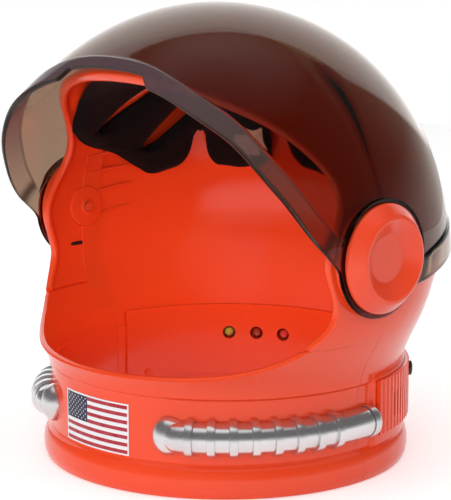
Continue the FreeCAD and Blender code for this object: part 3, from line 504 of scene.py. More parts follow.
class Nodes:
    """A small hand for writing a material's nodes."""

    def __init__(self, name: str, world: bool = False) -> None:
        """Start an empty material, or an empty world, with its output node."""
        kind = "World" if world else "Material"
        self.material = (bpy.data.worlds if world else bpy.data.materials).new(name)
        self.material.use_nodes = True
        self.tree = self.material.node_tree
        self.tree.nodes.clear()
        self.output = self.tree.nodes.new("ShaderNodeOutput" + kind)

    def add(self, kind: str, values: Optional[Dict[str, object]] = None,
            **settings: object) -> bpy.types.Node:
        """Add a node.

        Args:
            kind: the node's type name after ShaderNode.
            values: input values, or sockets to link from, by input name.
            settings: the node's own properties.
        Returns:
            The new node.
        """
        node = self.tree.nodes.new("ShaderNode" + kind)
        for key, value in settings.items():
            setattr(node, key, value)
        for key, value in (values or {}).items():
            socket = node.inputs[int(key)] if key.isdigit() else node.inputs[key]
            if isinstance(value, bpy.types.NodeSocket):
                self.tree.links.new(value, socket)
            else:
                socket.default_value = value
        return node

    def place(self) -> bpy.types.NodeSocket:
        """Return object coordinates."""
        return self.add("TexCoord").outputs["Object"]

    def noise(self, scale: float, detail: float = 2.0, roughness: float = 0.5,
              vector: Optional[bpy.types.NodeSocket] = None) -> bpy.types.NodeSocket:
        """Return the value of a noise texture on object coordinates.

        Args:
            scale: waves per metre.
            detail: how many finer layers it has.
            roughness: how strong the finer layers are.
            vector: other coordinates to read it at, or None.
        Returns:
            The noise, from 0 to 1.
        """
        values = {"Vector": vector or self.place(), "Scale": scale, "Detail": detail,
                  "Roughness": roughness}
        return self.add("TexNoise", values).outputs["Fac"]

    def ranged(self, value: bpy.types.NodeSocket, low: float, high: float,
               start: float = 0.3, end: float = 0.7) -> bpy.types.NodeSocket:
        """Return value mapped from start and end to low and high."""
        return self.add("MapRange", {"Value": value, "From Min": start, "From Max": end,
                                     "To Min": low, "To Max": high}).outputs["Result"]

    def maths(self, operation: str, first: object, second: object = 0.0) -> bpy.types.NodeSocket:
        """Return a math node's value."""
        return self.add("Math", {"0": first, "1": second}, operation=operation).outputs[0]

    def mixed(self, share: object, first: object, second: object) -> bpy.types.NodeSocket:
        """Return a mix of two colours, given as colours or sockets.

        Args:
            share: 0 for the first colour, 1 for the second.
            first: a colour.
            second: a colour.
        Returns:
            The mixed colour's socket.
        """
        node = self.add("Mix", data_type="RGBA")
        for index, value in ((0, share), (6, first), (7, second)):
            if isinstance(value, bpy.types.NodeSocket):
                self.tree.links.new(value, node.inputs[index])
            elif index:
                node.inputs[index].default_value = (*value, 1.0)
            else:
                node.inputs[index].default_value = value
        return node.outputs[2]

    def bump(self, height: bpy.types.NodeSocket, depth: float,
             strength: float = 1.0) -> bpy.types.NodeSocket:
        """Return a normal bumped by height, depth metres high."""
        return self.add("Bump", {"Height": height, "Distance": depth,
                                 "Strength": strength}).outputs["Normal"]

    def painted(self, values: Dict[str, object]) -> bpy.types.Material:
        """Finish the material with a principled shader of these values and return it."""
        return self.finish(self.add("BsdfPrincipled", values))

    def finish(self, shader: bpy.types.Node) -> bpy.types.Material:
        """Link the shader to the output and return the material."""
        self.tree.links.new(shader.outputs[0], self.output.inputs["Surface"])
        return self.material


@dataclass(frozen=True)
class MouldedPlastic:
    """Injection moulded plastic: even colour, slight mould waviness, fine handling marks."""

    name: str
    colour: Colour
    deep: Colour
    roughness: float = 0.2
    ripple: float = 0.00012
    grain: float = 0.0
    coat: float = 0.0
    glow: float = 0.0

    def build(self) -> bpy.types.Material:
        """Return the material: colour drifts with slow noise, gloss with finer noise."""
        nodes = Nodes(self.name)
        drift = nodes.ranged(nodes.noise(9.0, 3.0), 0.0, 1.0)
        colour = nodes.mixed(drift, self.colour, self.deep)
        marks = nodes.ranged(nodes.noise(160.0, 4.0, 0.65), self.roughness * 0.85,
                             self.roughness * 1.3)
        wave = nodes.noise(34.0, 1.0)
        normal = nodes.bump(wave, self.ripple, 0.5)
        if self.grain > 0:
            fine = nodes.noise(1800.0, 2.0)
            both = nodes.maths("MULTIPLY_ADD", fine, self.grain / max(self.ripple, 1e-9))
            nodes.tree.links.new(wave, both.node.inputs[2])
            normal = nodes.bump(both, self.ripple, 0.6)
        values = {"Base Color": colour, "Roughness": marks, "Normal": normal, "IOR": 1.5,
                  "Coat Weight": self.coat, "Coat Roughness": 0.04}
        if self.glow > 0:
            values["Subsurface Weight"] = self.glow
            values["Subsurface Radius"] = (0.004, 0.0012, 0.0005)
            values["Subsurface Scale"] = 1.0
        return nodes.painted(values)


@dataclass(frozen=True)
class SmokeClear:
    """Clear smoke-tinted plastic that lets lamps through, with faint moulding streaks."""

    name: str
    tint: Colour
    shade: Colour
    # rim: painted grey reflection of the pale surroundings, laid on the visor's rim band
    rim: Colour = (0.150, 0.100, 0.112)
    roughness: float = 0.03

    def build(self) -> bpy.types.Material:
        """Return glass-like plastic, mixed with a tinted pass for rays from lamps.

        The UV map's X marks how far the raised rim is passed, and the crease beside it is darkened
        with painted shade. Its Y marks where the rim band takes the rim's colour, a painted grey
        reflection of the pale surroundings, and lets less light through.
        """
        nodes = Nodes(self.name)
        drift = nodes.ranged(nodes.noise(7.0, 2.0), 0.0, 1.0)
        colour = nodes.mixed(drift, self.tint, dimmed(self.tint, 0.92))
        marks = nodes.add("SeparateXYZ", {"Vector": nodes.add("UVMap").outputs["UV"]})
        crease = nodes.maths("PINGPONG", marks.outputs["X"], 0.5)
        # painted reflection: the rim band takes the rim colour where the UV's Y is high
        colour = nodes.mixed(marks.outputs["Y"], colour, self.rim)
        # painted shade: the crease beside the raised rim darkens towards a tenth of the tint,
        # standing in for the dark line of refraction in the bend
        colour = nodes.mixed(nodes.ranged(crease, 0.0, 0.85, 0.05, 0.4), colour,
                             dimmed(self.tint, 0.1))
        clear = nodes.ranged(marks.outputs["Y"], 1.0, 0.5, 0.0, 1.0)
        gloss = nodes.ranged(nodes.noise(120.0, 3.0), self.roughness * 0.6, self.roughness * 1.6)
        normal = nodes.bump(nodes.noise(22.0, 1.0), 0.0001, 0.3)
        glass = nodes.add("BsdfPrincipled", {
            "Base Color": colour, "Roughness": gloss, "Normal": normal,
            "Transmission Weight": clear, "IOR": 1.48, "Specular IOR Level": 0.04,
            "Specular Tint": (0.03, 0.03, 0.03, 1.0)})
        through = nodes.add("BsdfTransparent", {"Color": (*self.shade, 1.0)})
        rays = nodes.add("LightPath")
        mix = nodes.add("MixShader", {"Fac": rays.outputs["Is Shadow Ray"]})
        nodes.tree.links.new(glass.outputs[0], mix.inputs[1])
        nodes.tree.links.new(through.outputs[0], mix.inputs[2])
        return nodes.finish(mix)


@dataclass(frozen=True)
class SilverPaint:
    """Silver metallised paint over moulded plastic, softly mirrored, with a dusty flake."""

    name: str
    colour: Colour = (0.72, 0.71, 0.72)
    roughness: float = 0.24

    def build(self) -> bpy.types.Material:
        """Return the metal paint: flake noise moves the gloss and the normal a little."""
        nodes = Nodes(self.name)
        flake = nodes.noise(900.0, 3.0, 0.7)
        haze = nodes.noise(45.0, 3.0)
        gloss = nodes.ranged(haze, self.roughness * 0.8, self.roughness * 1.3)
        colour = nodes.mixed(nodes.ranged(haze, 0.0, 1.0), self.colour,
                             dimmed(self.colour, 0.88))
        values = {"Base Color": colour, "Metallic": 0.92, "Roughness": gloss,
                  "Normal": nodes.bump(flake, 0.00003, 0.5)}
        return nodes.painted(values)


@dataclass(frozen=True)
class FlagPrint:
    """A printed label: white border, thirteen stripes and a blue canton, read from the UV map."""

    name: str
    red: Colour = (0.42, 0.015, 0.035)
    blue: Colour = (0.004, 0.006, 0.045)
    white: Colour = (0.86, 0.86, 0.88)
    border: float = 0.03
    stripes: int = 13
    canton_width: float = 0.4

    def build(self) -> bpy.types.Material:
        """Return the print: stripes from the height's whole part, the canton from a corner."""
        nodes = Nodes(self.name)
        split = nodes.add("SeparateXYZ", {"Vector": nodes.add("UVMap").outputs["UV"]})
        across = nodes.maths("DIVIDE", nodes.maths("SUBTRACT", split.outputs["X"],
                                                   self.border * 0.55), 1.0 - 1.1 * self.border)
        up = nodes.maths("DIVIDE", nodes.maths("SUBTRACT", split.outputs["Y"], self.border),
                         1.0 - 2.0 * self.border)
        band = nodes.maths("FLOOR", nodes.maths("MULTIPLY", up, float(self.stripes)))
        odd = nodes.maths("GREATER_THAN", nodes.maths("FRACT", nodes.maths(
            "MULTIPLY", band, 0.5)), 0.25)
        colour = nodes.mixed(odd, self.red, self.white)
        high = nodes.maths("GREATER_THAN", up, 6.0 / self.stripes)
        left = nodes.maths("LESS_THAN", across, self.canton_width)
        colour = nodes.mixed(nodes.maths("MULTIPLY", high, left), colour, self.blue)
        inside = nodes.maths("MULTIPLY", self.within(nodes, across), self.within(nodes, up))
        colour = nodes.mixed(inside, self.white, colour)
        faded = nodes.mixed(nodes.ranged(nodes.noise(240.0, 3.0), 0.0, 0.06), colour, self.white)
        values = {"Base Color": faded, "Roughness": nodes.ranged(nodes.noise(90.0), 0.3, 0.42),
                  "Specular IOR Level": 0.2,
                  "Normal": nodes.bump(nodes.noise(700.0), 0.00002, 0.4)}
        return nodes.painted(values)

    def within(self, nodes: Nodes, value: bpy.types.NodeSocket) -> bpy.types.NodeSocket:
        """Return 1 where value lies between 0 and 1, else 0."""
        return nodes.maths("MULTIPLY", nodes.maths("GREATER_THAN", value, 0.0),
                           nodes.maths("LESS_THAN", value, 1.0))


@dataclass(frozen=True)
class FoamCloth:
    """Knitted cloth bonded to foam: a fine weave in the bump and a soft sheen."""

    name: str
    colour: Colour
    weave: float = 1500.0
    sheen: float = 0.25

    def build(self) -> bpy.types.Material:
        """Return the cloth: two crossed waves and noise make the weave's height."""
        nodes = Nodes(self.name)
        place = nodes.place()
        rows = nodes.add("TexWave", {"Vector": place, "Scale": self.weave / 6.0,
                                     "Distortion": 1.5}, bands_direction="Z").outputs["Fac"]
        threads = nodes.add("TexWave", {"Vector": place, "Scale": self.weave / 6.0,
                                        "Distortion": 1.5}, bands_direction="X").outputs["Fac"]
        weave = nodes.maths("MULTIPLY", rows, threads)
        lint = nodes.ranged(nodes.noise(260.0, 4.0), 0.0, 1.0)
        colour = nodes.mixed(lint, self.colour, tuple(c * 1.6 + 0.0005 for c in self.colour))
        values = {"Base Color": colour, "Roughness": 0.85, "Sheen Weight": self.sheen,
                  "Specular IOR Level": 0.12,
                  "Sheen Roughness": 0.5, "Normal": nodes.bump(weave, 0.00012, 0.7)}
        return nodes.painted(values)


@dataclass(frozen=True)
class PlainMetal:
    """Plated or brushed metal of small parts, with fine directional scratches."""

    name: str
    colour: Colour
    roughness: float = 0.3

    def build(self) -> bpy.types.Material:
        """Return the metal: stretched noise roughens it in one direction."""
        nodes = Nodes(self.name)
        stretched = nodes.add("Mapping", {"Vector": nodes.place(),
                                          "Scale": (1.0, 1.0, 14.0)}).outputs[0]
        brush = nodes.noise(420.0, 3.0, 0.6, stretched)
        colour = nodes.mixed(nodes.ranged(brush, 0.0, 1.0), self.colour,
                             dimmed(self.colour, 0.8))
        values = {"Base Color": colour, "Metallic": 1.0,
                  "Roughness": nodes.ranged(brush, self.roughness * 0.7, self.roughness * 1.4),
                  "Normal": nodes.bump(brush, 0.00002, 0.4)}
        return nodes.painted(values)


@dataclass(frozen=True)
class LampDome:
    """Tinted clear epoxy of a small dome light, switched off."""

    name: str
    colour: Colour

    def build(self) -> bpy.types.Material:
        """Return the tinted epoxy: clearer where slow noise is high."""
        nodes = Nodes(self.name)
        cloud = nodes.ranged(nodes.noise(300.0, 2.0), 0.0, 1.0)
        colour = nodes.mixed(cloud, self.colour, dimmed(self.colour, 0.7))
        values = {"Base Color": colour, "Roughness": nodes.ranged(cloud, 0.06, 0.14),
                  "IOR": 1.5, "Transmission Weight": 0.2, "Coat Weight": 0.5}
        return nodes.painted(values)


@dataclass
class Finishes:
    """Every finish of the helmet, built once."""

    made: Dict[str, bpy.types.Material] = field(default_factory=dict)

    def build(self) -> "Finishes":
        """Build each material and keep it under its finish's name."""
        orange = (0.93, 0.074, 0.015)
        looks = [
            MouldedPlastic("shell_orange", orange, (0.90, 0.066, 0.013), 0.15, glow=0.2),
            MouldedPlastic("cap_orange", (0.93, 0.075, 0.022), (0.90, 0.066, 0.018), 0.2,
                           glow=0.2),
            # painted shade: the near black of the cheek slots stands for the shade inside them
            MouldedPlastic("slot_shade", (0.02, 0.006, 0.004), (0.015, 0.005, 0.003), 0.6),
            SmokeClear("visor_smoke", (0.33, 0.21, 0.142), (0.135, 0.08, 0.06)),
            SilverPaint("hose_silver"),
            FlagPrint("flag_print"),
            MouldedPlastic("flag_star", (0.86, 0.86, 0.88), (0.80, 0.80, 0.83), 0.35),
            FoamCloth("pad_foam", (0.0035, 0.0022, 0.0022), sheen=0.02),
            FoamCloth("tag_cloth", (0.72, 0.71, 0.70), 900.0, 0.1),
            MouldedPlastic("pivot_plastic", (0.8, 0.12, 0.03), (0.75, 0.1, 0.02), 0.4),
            MouldedPlastic("washer_black", (0.02, 0.02, 0.02), (0.03, 0.03, 0.03), 0.5),
            MouldedPlastic("button_black", (0.012, 0.012, 0.013), (0.02, 0.02, 0.02), 0.18),
            MouldedPlastic("switch_black", (0.02, 0.02, 0.02), (0.03, 0.03, 0.03), 0.5),
            MouldedPlastic("board_green", (0.02, 0.12, 0.05), (0.03, 0.16, 0.07), 0.35),
            MouldedPlastic("foam_black", (0.02, 0.02, 0.02), (0.03, 0.03, 0.03), 0.9,
                           grain=0.0002),
            MouldedPlastic("wire_black", (0.02, 0.02, 0.02), (0.04, 0.04, 0.04), 0.45),
            PlainMetal("screw_steel", (0.62, 0.60, 0.57)),
            PlainMetal("cell_steel", (0.70, 0.70, 0.68), 0.22),
            MouldedPlastic("screw_painted", orange, (0.85, 0.06, 0.012), 0.3),
            PlainMetal("speaker_steel", (0.20, 0.20, 0.21), 0.4),
            LampDome("light_green", (0.62, 0.50, 0.06)),
            LampDome("light_amber", (0.50, 0.05, 0.02)),
            LampDome("light_red", (0.95, 0.06, 0.05)),
            # painted shade: a darker copy of the shell orange, so the lights' recesses look shaded
            MouldedPlastic("strip_shaded_red", (0.72, 0.07, 0.02), (0.60, 0.06, 0.018), 0.4),
        ]
        for look in looks:
            self.made[look.name] = look.build()
        return self


@dataclass
class Workshop:
    """Writes meshes, gives them their finish and fixes them to their bodies."""

    finishes: Finishes
    count: int = 0

    def piece(self, name: str, points: np.ndarray, quads: np.ndarray, finish: str,
              body: Body = Body.HELMET, replaces: Sequence[str] = (), slot: str = "",
              crease: float = 38.0, uv: Optional[np.ndarray] = None) -> bpy.types.Object:
        """Make one closed piece.

        Args:
            name: the piece's name.
            points: places in millimetres.
            quads: faces as four indices, with a repeated index for a triangle.
            finish: the name of its finish.
            body: the body that it rides on.
            replaces: CAD nodes that it stands for.
            slot: not used.
            crease: faces that meet at more degrees than this show an edge.
            uv: a place on the label per point, or None.
        Returns:
            The new object.
        """
        mesh = self.mesh(name, points, quads, uv)
        mesh.materials.append(self.finishes.made[finish])
        mesh.set_sharp_from_angle(angle=math.radians(crease))
        item = bpy.data.objects.new(name, mesh)
        bpy.context.scene.collection.objects.link(item)
        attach(item, body.value)
        if replaces:
            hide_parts(*replaces)
        self.count += 1
        LOG.info("%s: %d faces on %s", name, len(mesh.polygons), body.value)
        return item

    def mesh(self, name: str, points: np.ndarray, quads: np.ndarray,
             uv: Optional[np.ndarray]) -> bpy.types.Mesh:
        """Write points and faces into a mesh, merged, outwards and smooth.

        Args:
            name: the mesh's name.
            points: places in millimetres.
            quads: faces as four indices.
            uv: a place on the label per point, or None.
        Returns:
            The mesh, in metres.
        """
        first, back = merged_points(points)
        points = points[first]
        quads = back[quads]
        if uv is not None:
            uv = uv[first]
        same = quads == np.roll(quads, -1, axis=1)
        keep = same.sum(1) <= 1
        quads, same = quads[keep], same[keep]
        crossed = (quads[:, 0] == quads[:, 2]) | (quads[:, 1] == quads[:, 3])
        quads, same = quads[~crossed], same[~crossed]
        counts = 4 - same.sum(1)
        loops = quads[~same]
        starts = np.concatenate([[0], np.cumsum(counts)[:-1]])
        a, b, c = points[quads[:, 0]], points[quads[:, 1]], points[quads[:, 2]]
        d = points[quads[:, 3]]
        volume = (np.cross(a, b) * c).sum() + (np.cross(a, c) * d).sum()
        if volume < 0:
            loops = self.reversed_loops(loops, starts, counts)
        mesh = bpy.data.meshes.new(name)
        mesh.vertices.add(len(points))
        mesh.vertices.foreach_set("co", (points * 0.001).astype(np.float32).reshape(-1))
        mesh.loops.add(len(loops))
        mesh.loops.foreach_set("vertex_index", loops.astype(np.int32))
        mesh.polygons.add(len(counts))
        mesh.polygons.foreach_set("loop_start", starts.astype(np.int32))
        mesh.polygons.foreach_set("loop_total", counts.astype(np.int32))
        if uv is not None:
            layer = mesh.uv_layers.new(name="UVMap")
            layer.data.foreach_set("uv", uv[loops].astype(np.float32).reshape(-1))
        mesh.update(calc_edges=True)
        mesh.validate()
        mesh.polygons.foreach_set("use_smooth", np.ones(len(mesh.polygons), bool))
        return mesh

    def reversed_loops(self, loops: np.ndarray, starts: np.ndarray,
                       counts: np.ndarray) -> np.ndarray:
        """Return the corners of every face in the other order.

        Args:
            loops: point indices, face after face.
            starts: where each face starts.
            counts: how many corners it has.
        Returns:
            The loops with each face's corners reversed.
        """
        owner = np.repeat(np.arange(len(counts)), counts)
        place = np.arange(len(loops)) - starts[owner]
        return loops[starts[owner] + counts[owner] - 1 - place]

    def dress(self, node: str, finish: str) -> None:
        """Give a CAD node that stays its finish."""
        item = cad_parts[node]
        item.data.materials.clear()
        item.data.materials.append(self.finishes.made[finish])
        LOG.info("%s keeps its CAD shape in %s", node, finish)


# The head's outer form


@dataclass(frozen=True)
class HeadForm:
    """The outer surface of the shells, as level sections and two crown forms."""

    shoulder: float = 57.0
    neck: float = 107.0
    half_width: float = 126.5
    jaw_depth: float = 128.5
    front_depth: float = 142.0
    rear_depth: float = 129.0
    jaw_level: float = 105.0
    full_level: float = 120.0
    ease_level: float = 112.0
    ease_slope: float = 0.01789
    ease_reach: float = 16.2
    eye_level: float = 135.0
    middle: float = -4.0
    front_crown: float = 120.0
    rear_crown: float = 107.0
    wall: float = 3.5

    def section(self, level: np.ndarray) -> Tuple[np.ndarray, ...]:
        """Return the level section: half width, front and rear depth, middle and both powers.

        The front swells with a power of a sine up to the jaw, the rear with a power of the
        height, and the forehead deepens with the square of the height above the jaw.
        """
        front_share = np.clip((level - self.shoulder) / (self.jaw_level - self.shoulder), 0, 1)
        rear_share = np.clip((level - self.shoulder) / (self.full_level - self.shoulder), 0, 1)
        swell = np.sin(0.5 * np.pi * front_share) ** 1.6
        eased = np.clip(level - self.ease_level, 0.0, self.ease_reach)
        rear_swell = (np.minimum(rear_share, (self.ease_level - self.shoulder)
                                 / (self.full_level - self.shoulder)) ** 1.15
                      + self.ease_slope * (eased - eased ** 2 / (2.0 * self.ease_reach)))
        width = self.neck + (self.half_width - self.neck) * swell
        depth = self.neck + (self.jaw_depth - self.neck) * swell
        above = np.clip((level - self.jaw_level) / (self.eye_level - self.jaw_level), 0, 1)
        depth = depth + (self.front_depth - depth) * above ** 2
        rear = self.neck + (self.rear_depth - self.neck) * rear_swell
        return (width, depth, rear, self.middle * swell, 2.0 + 0.15 * swell,
                2.0 + 0.2 * rear_swell ** 3)

    def excess(self, points: np.ndarray, half: Half) -> np.ndarray:
        """Return how far outside the form points are: a sum of powers, less one.

        The sum is the section's superellipse measure to a power, plus the height above eye
        level over the crown's height to a power. The front crown is rounder towards its back,
        which makes it a narrower arch there; the rear crown is lower and squarer.
        """
        x, y, z = points[..., 0], points[..., 1], points[..., 2]
        if half is Half.LINING:
            return np.maximum(self.excess(points, Half.FRONT), self.excess(points, Half.REAR))
        width, front, rear, middle, front_power, rear_power = self.section(z)
        along = y - middle
        depth = np.where(along > 0, rear, front)
        power = np.where(along > 0, rear_power, front_power)
        ratio = ((np.abs(x) / width) ** power + (np.abs(along) / depth) ** power) ** (1 / power)
        rise = np.clip(z - self.eye_level, 0.0, None)
        if half is Half.FRONT:
            bend = (1.85 + 0.15 * smoothstep((-y - 25.0) / 30.0)
                    - 0.27 * smoothstep((y + 5.0) / 30.0))
            crown = self.front_crown + 0.0002 * (y + 7.0) ** 2
            return ratio ** bend + (rise / crown) ** bend - 1.0
        return ratio ** 2.5 + (rise / self.rear_crown) ** 2 - 1.0

    def along(self, directions: np.ndarray, half: Half) -> np.ndarray:
        """Return the surface's distance from the heart in each direction, by halving."""
        size = directions.shape[:-1]
        return halved(np.full(size, 40.0), np.full(size, 200.0), lambda reach: self.excess(
            HEART + directions * reach[..., None], half) > 0)

    def half_width_at(self, reach: np.ndarray, level: np.ndarray, half: Half) -> np.ndarray:
        """Return the surface's half width at a side view point, by halving."""
        size = np.shape(reach)
        return halved(np.zeros(size), np.full(size, 150.0), lambda width: self.excess(
            np.stack([width, reach, level], -1), half) > 0)


@dataclass(frozen=True)
class Collar:
    """The round collar: a rounded lip on the floor and a band above it."""

    band: float = 105.5
    inner: float = 102.5
    top: float = 57.0
    rail: float = 2.9

    def profile(self) -> np.ndarray:
        """Return (radius, level) from the floor up to the shoulder crease."""
        lip = smooth_line([(109.2, 0.3), (110.4, 3.5), (110.7, 8.5), (110.0, 13.0),
                           (108.0, 16.6), (106.1, 18.0)], 18)
        foot = np.array([[107.6, 0.0], [108.7, 0.05]])
        band = np.array([[105.62, 18.5], [105.5, 19.4], [105.5, 25.0], [105.5, 28.0],
                         [105.5, 34.0], [105.5, 42.0], [105.5, 50.0], [105.5, 54.2],
                         [105.55, 55.2], [105.75, 55.8], [106.2, 56.3], [106.7, 56.7]])
        return np.concatenate([foot, lip, band])


@dataclass
class Shells:
    """Face frame, chin with the collar's front, and rear shell with the collar's rear."""

    shop: Workshop
    form: HeadForm = field(default_factory=HeadForm)
    collar: Collar = field(default_factory=Collar)
    seam: float = 2.5
    gap: float = 0.22
    chin_top: float = 85.55
    bead: float = 1.6
    brow_bead: float = 1.6
    bead_reach: float = 3.2
    mouth: Tuple[Tuple[float, float], ...] = (
        (-86.0, 234.0), (-38.0, 196.0), (-26.5, 172.0), (-40.5, 132.0), (-34.5, 108.0),
        (-47.0, 86.0), (-87.0, 68.5), (-113.0, 66.0))
    seam_side: Tuple[Tuple[float, float], ...] = (
        (2.5, 173.0), (4.0, 186.0), (9.0, 203.0), (16.5, 218.0), (26.0, 231.0), (34.0, 244.5))

    def build(self) -> None:
        """Make the three shells and the features on their inner walls."""
        self.face_frame()
        self.chin()
        self.rear()
        self.ear_seats()
        self.inner_ribs()
        self.lap_flange()

    def mouth_line(self) -> np.ndarray:
        """Return the face opening's edge in the side view, brow to sill."""
        return smooth_line(self.mouth, 700)

    def face_frame(self) -> None:
        """Make the face frame: a strip from the opening's edge back to the coronal seam.

        Rows run from one cheek over the brow to the other. On the crown a row turns on the
        great circle from edge to seam about the heart; on the cheeks it is straight in the
        side view, and the surface gives the third coordinate.
        """
        line = self.mouth_line()
        line = line[line[:, 1] > self.chin_top + self.gap]
        foot = np.linspace((self.seam, self.chin_top + self.gap), (self.seam, 170.0), 60)
        seam = np.concatenate([foot, smooth_line(self.seam_side, 120)])[::-1]
        rows = 110
        edges = [even_steps(self.lifted(path), rows) for path in (line, seam - [self.gap, 0])]
        share = np.linspace(0.0, 1.0, rows)
        columns = np.concatenate([np.linspace(0.0, 0.08, 6)[:-1], np.linspace(0.08, 0.95, 40),
                                  np.linspace(0.95, 1.0, 5)[1:]])
        turned = between_directions(unit(edges[0] - HEART), unit(edges[1] - HEART), columns)
        crown = HEART + turned * self.form.along(turned, Half.FRONT)[..., None]
        flat = (edges[0][:, None, 1:] * (1 - columns)[None, :, None]
                + edges[1][:, None, 1:] * columns[None, :, None])
        weight = smoothstep((share - 0.34) / 0.2)[:, None, None]
        side = crown[..., 1:] * (1 - weight) + flat * weight
        width = self.form.half_width_at(side[..., 0], side[..., 1], Half.FRONT)
        cheek = np.concatenate([width[..., None], side], -1)
        right = np.where(weight > 0, cheek, crown)
        right[0, :, 0] = 0.0
        grid = mirrored_rows(right)
        skin = Skin(grid.reshape(-1, 3), grid_faces(*grid.shape[:2]), np.zeros(grid.size // 3),
                    self.beaded(grid).reshape(-1, 3)).merged().outwards()
        points, quads = skin.thick(self.form.wall, 0.7, 8)
        self.shop.piece("face_frame", points, quads, "shell_orange",
                        replaces=["shell_front"])

    def beaded(self, grid: np.ndarray) -> np.ndarray:
        """Return the inner side of the frame's grid, thicker by a bead along its free edge.

        The bead's height falls with the square of the distance from the edge and is larger
        over the brow.
        """
        normal = outward_normals(grid)
        step = np.linalg.norm(np.diff(grid, axis=1), axis=-1)
        away = np.concatenate([np.zeros((len(grid), 1)), np.cumsum(step, axis=1)], 1)
        brow = smoothstep((grid[:, :1, 2] - 195.0) / 30.0)
        height = (self.bead + self.brow_bead * brow) * np.exp(-(away / self.bead_reach) ** 2)
        return grid - normal * (self.form.wall + height)[..., None]

    def lifted(self, side: np.ndarray) -> np.ndarray:
        """Return side view points on the front form's surface, the first on the middle plane.

        Args:
            side: places as Y and height.
        Returns:
            The points.
        """
        width = self.form.half_width_at(side[:, 0], side[:, 1], Half.FRONT)
        width[0] = 0.0
        return np.concatenate([width[:, None], side], 1)

    def ring(self, level: np.ndarray, shares: np.ndarray, start: np.ndarray,
             end: np.ndarray) -> np.ndarray:
        """Return points on the level sections, turned from start to end.

        Args:
            level: height of each point, rows by columns.
            shares: how far along the turn each column is.
            start: first turn per row, in radians from the rear.
            end: last turn per row.
        Returns:
            Points, rows by columns.
        """
        width, front, rear, middle, front_power, rear_power = self.form.section(level)
        turn = start[:, None] + (end - start)[:, None] * shares[None, :]
        power = np.where(np.cos(turn) > 0, rear_power, front_power)
        depth = np.where(np.cos(turn) > 0, rear, front)
        across = signed_power(np.sin(turn), 2 / power)
        along = signed_power(np.cos(turn), 2 / power)
        return np.stack([width * across, middle + depth * along, level], -1)

    def seam_turn(self, level: np.ndarray, reach: np.ndarray) -> np.ndarray:
        """Return the turn at which a level section crosses the given reach.

        Args:
            level: heights.
            reach: the Y at which each is crossed.
        Returns:
            Turns in radians from the rear.
        """
        _, _, rear, middle, _, power = self.form.section(level)
        ratio = np.clip((reach - middle) / rear, -1.0, 1.0)
        return np.arccos(signed_power(ratio, power / 2))

    def collar_rows(self, shares: np.ndarray, start: float, end: float,
                    rail: Optional[np.ndarray] = None) -> Pair:
        """Return the collar's outer and inner grids between two turns.

        Args:
            shares: how far along the turn each column is.
            start: first turn in radians from the rear.
            end: last turn.
            rail: extra radius per column above the lip, or None.
        Returns:
            Outer points and inner points, rows by columns.
        """
        profile = self.collar.profile()
        turn = start + (end - start) * shares
        radius = np.repeat(profile[:, :1], len(shares), 1)
        if rail is not None:
            above = smoothstep((profile[:, 1:] - 17.6) / 0.8)
            radius = radius + rail[None, :] * above * (1 - smoothstep(
                (profile[:, 1:] - 55.0) / 2.0) * 0.45)
        level = np.repeat(profile[:, 1:], len(shares), 1)
        outer = np.stack([radius * np.sin(turn), radius * np.cos(turn), level], -1)
        hollow = np.full_like(radius, self.collar.inner)
        inner = np.stack([hollow * np.sin(turn), hollow * np.cos(turn), level], -1)
        return outer, inner

    def chin(self) -> None:
        """Make the chin and the collar's front half as one wall.

        Above the shoulder crease a column's height runs to the chin seam or to the sill, which
        its own reach decides, so the height is settled in a few rounds.
        """
        shares = np.linspace(0.0, 1.0, 90)
        shares = np.concatenate([np.linspace(0, 0.012, 4)[:-1], 0.012 + 0.988 * shares])
        start = math.acos((self.seam - self.gap) / self.collar.band)
        outer, inner = self.collar_rows(shares, start, math.pi)
        line = self.mouth_line()[::-1]
        line = line[line[:, 1] < 108.0]
        steps = np.concatenate([[0.0, 0.012], np.linspace(0.03, 1.0, 34)])
        level = np.full((len(steps), len(shares)), 66.0)
        for _ in range(8):
            begin = self.seam_turn(level[:, 0], np.full(len(steps), self.seam - self.gap))
            grid = self.ring(level, shares, begin, np.full(len(steps), math.pi))
            sill = np.interp(grid[-1, :, 1], line[:, 0], line[:, 1])
            top = np.where(grid[-1, :, 1] > -47.0, self.chin_top,
                           np.minimum(sill, self.chin_top))
            level = (self.form.shoulder + 0.05
                     + steps[:, None] * (top[None, :] - self.form.shoulder))
        normal = outward_normals(grid)
        below = grid - normal * self.form.wall
        below[..., 2] = np.minimum(below[..., 2], self.chin_top + 0.1)
        self.wall_piece("chin_and_collar", np.concatenate([outer, grid]),
                        np.concatenate([inner, below]), ["chin_front"])

    def wall_piece(self, name: str, outer: np.ndarray, inner: np.ndarray,
                   replaces: Sequence[str], hole: Optional[np.ndarray] = None) -> None:
        """Make a shell from outer and inner half grids that start at the right seam.

        Args:
            name: the piece's name.
            outer: outer points, rows by columns, from the seam to the middle plane.
            inner: inner points in the same order.
            replaces: CAD nodes that it stands for.
            hole: True for each face, rows by columns, that is left open, or None.
        """
        outer[:, -1, 0] = 0.0
        inner[:, -1, 0] = 0.0
        both = []
        for grid in (outer, inner):
            flipped = grid[:, ::-1].copy()
            flipped[..., 0] *= -1.0
            both.append(np.concatenate([grid, flipped[:, 1:]], 1))
        rows, columns = both[0].shape[:2]
        faces = grid_faces(rows, columns)
        if hole is not None:
            whole = np.concatenate([hole, hole[:, ::-1]], 1)
            faces = faces[~whole.reshape(-1)]
        skin = Skin(both[0].reshape(-1, 3), faces, np.zeros(rows * columns),
                    both[1].reshape(-1, 3)).merged().used().outwards()
        points, quads = skin.thick(self.form.wall, 0.35)
        self.shop.piece(name, points, quads, "shell_orange", replaces=replaces)

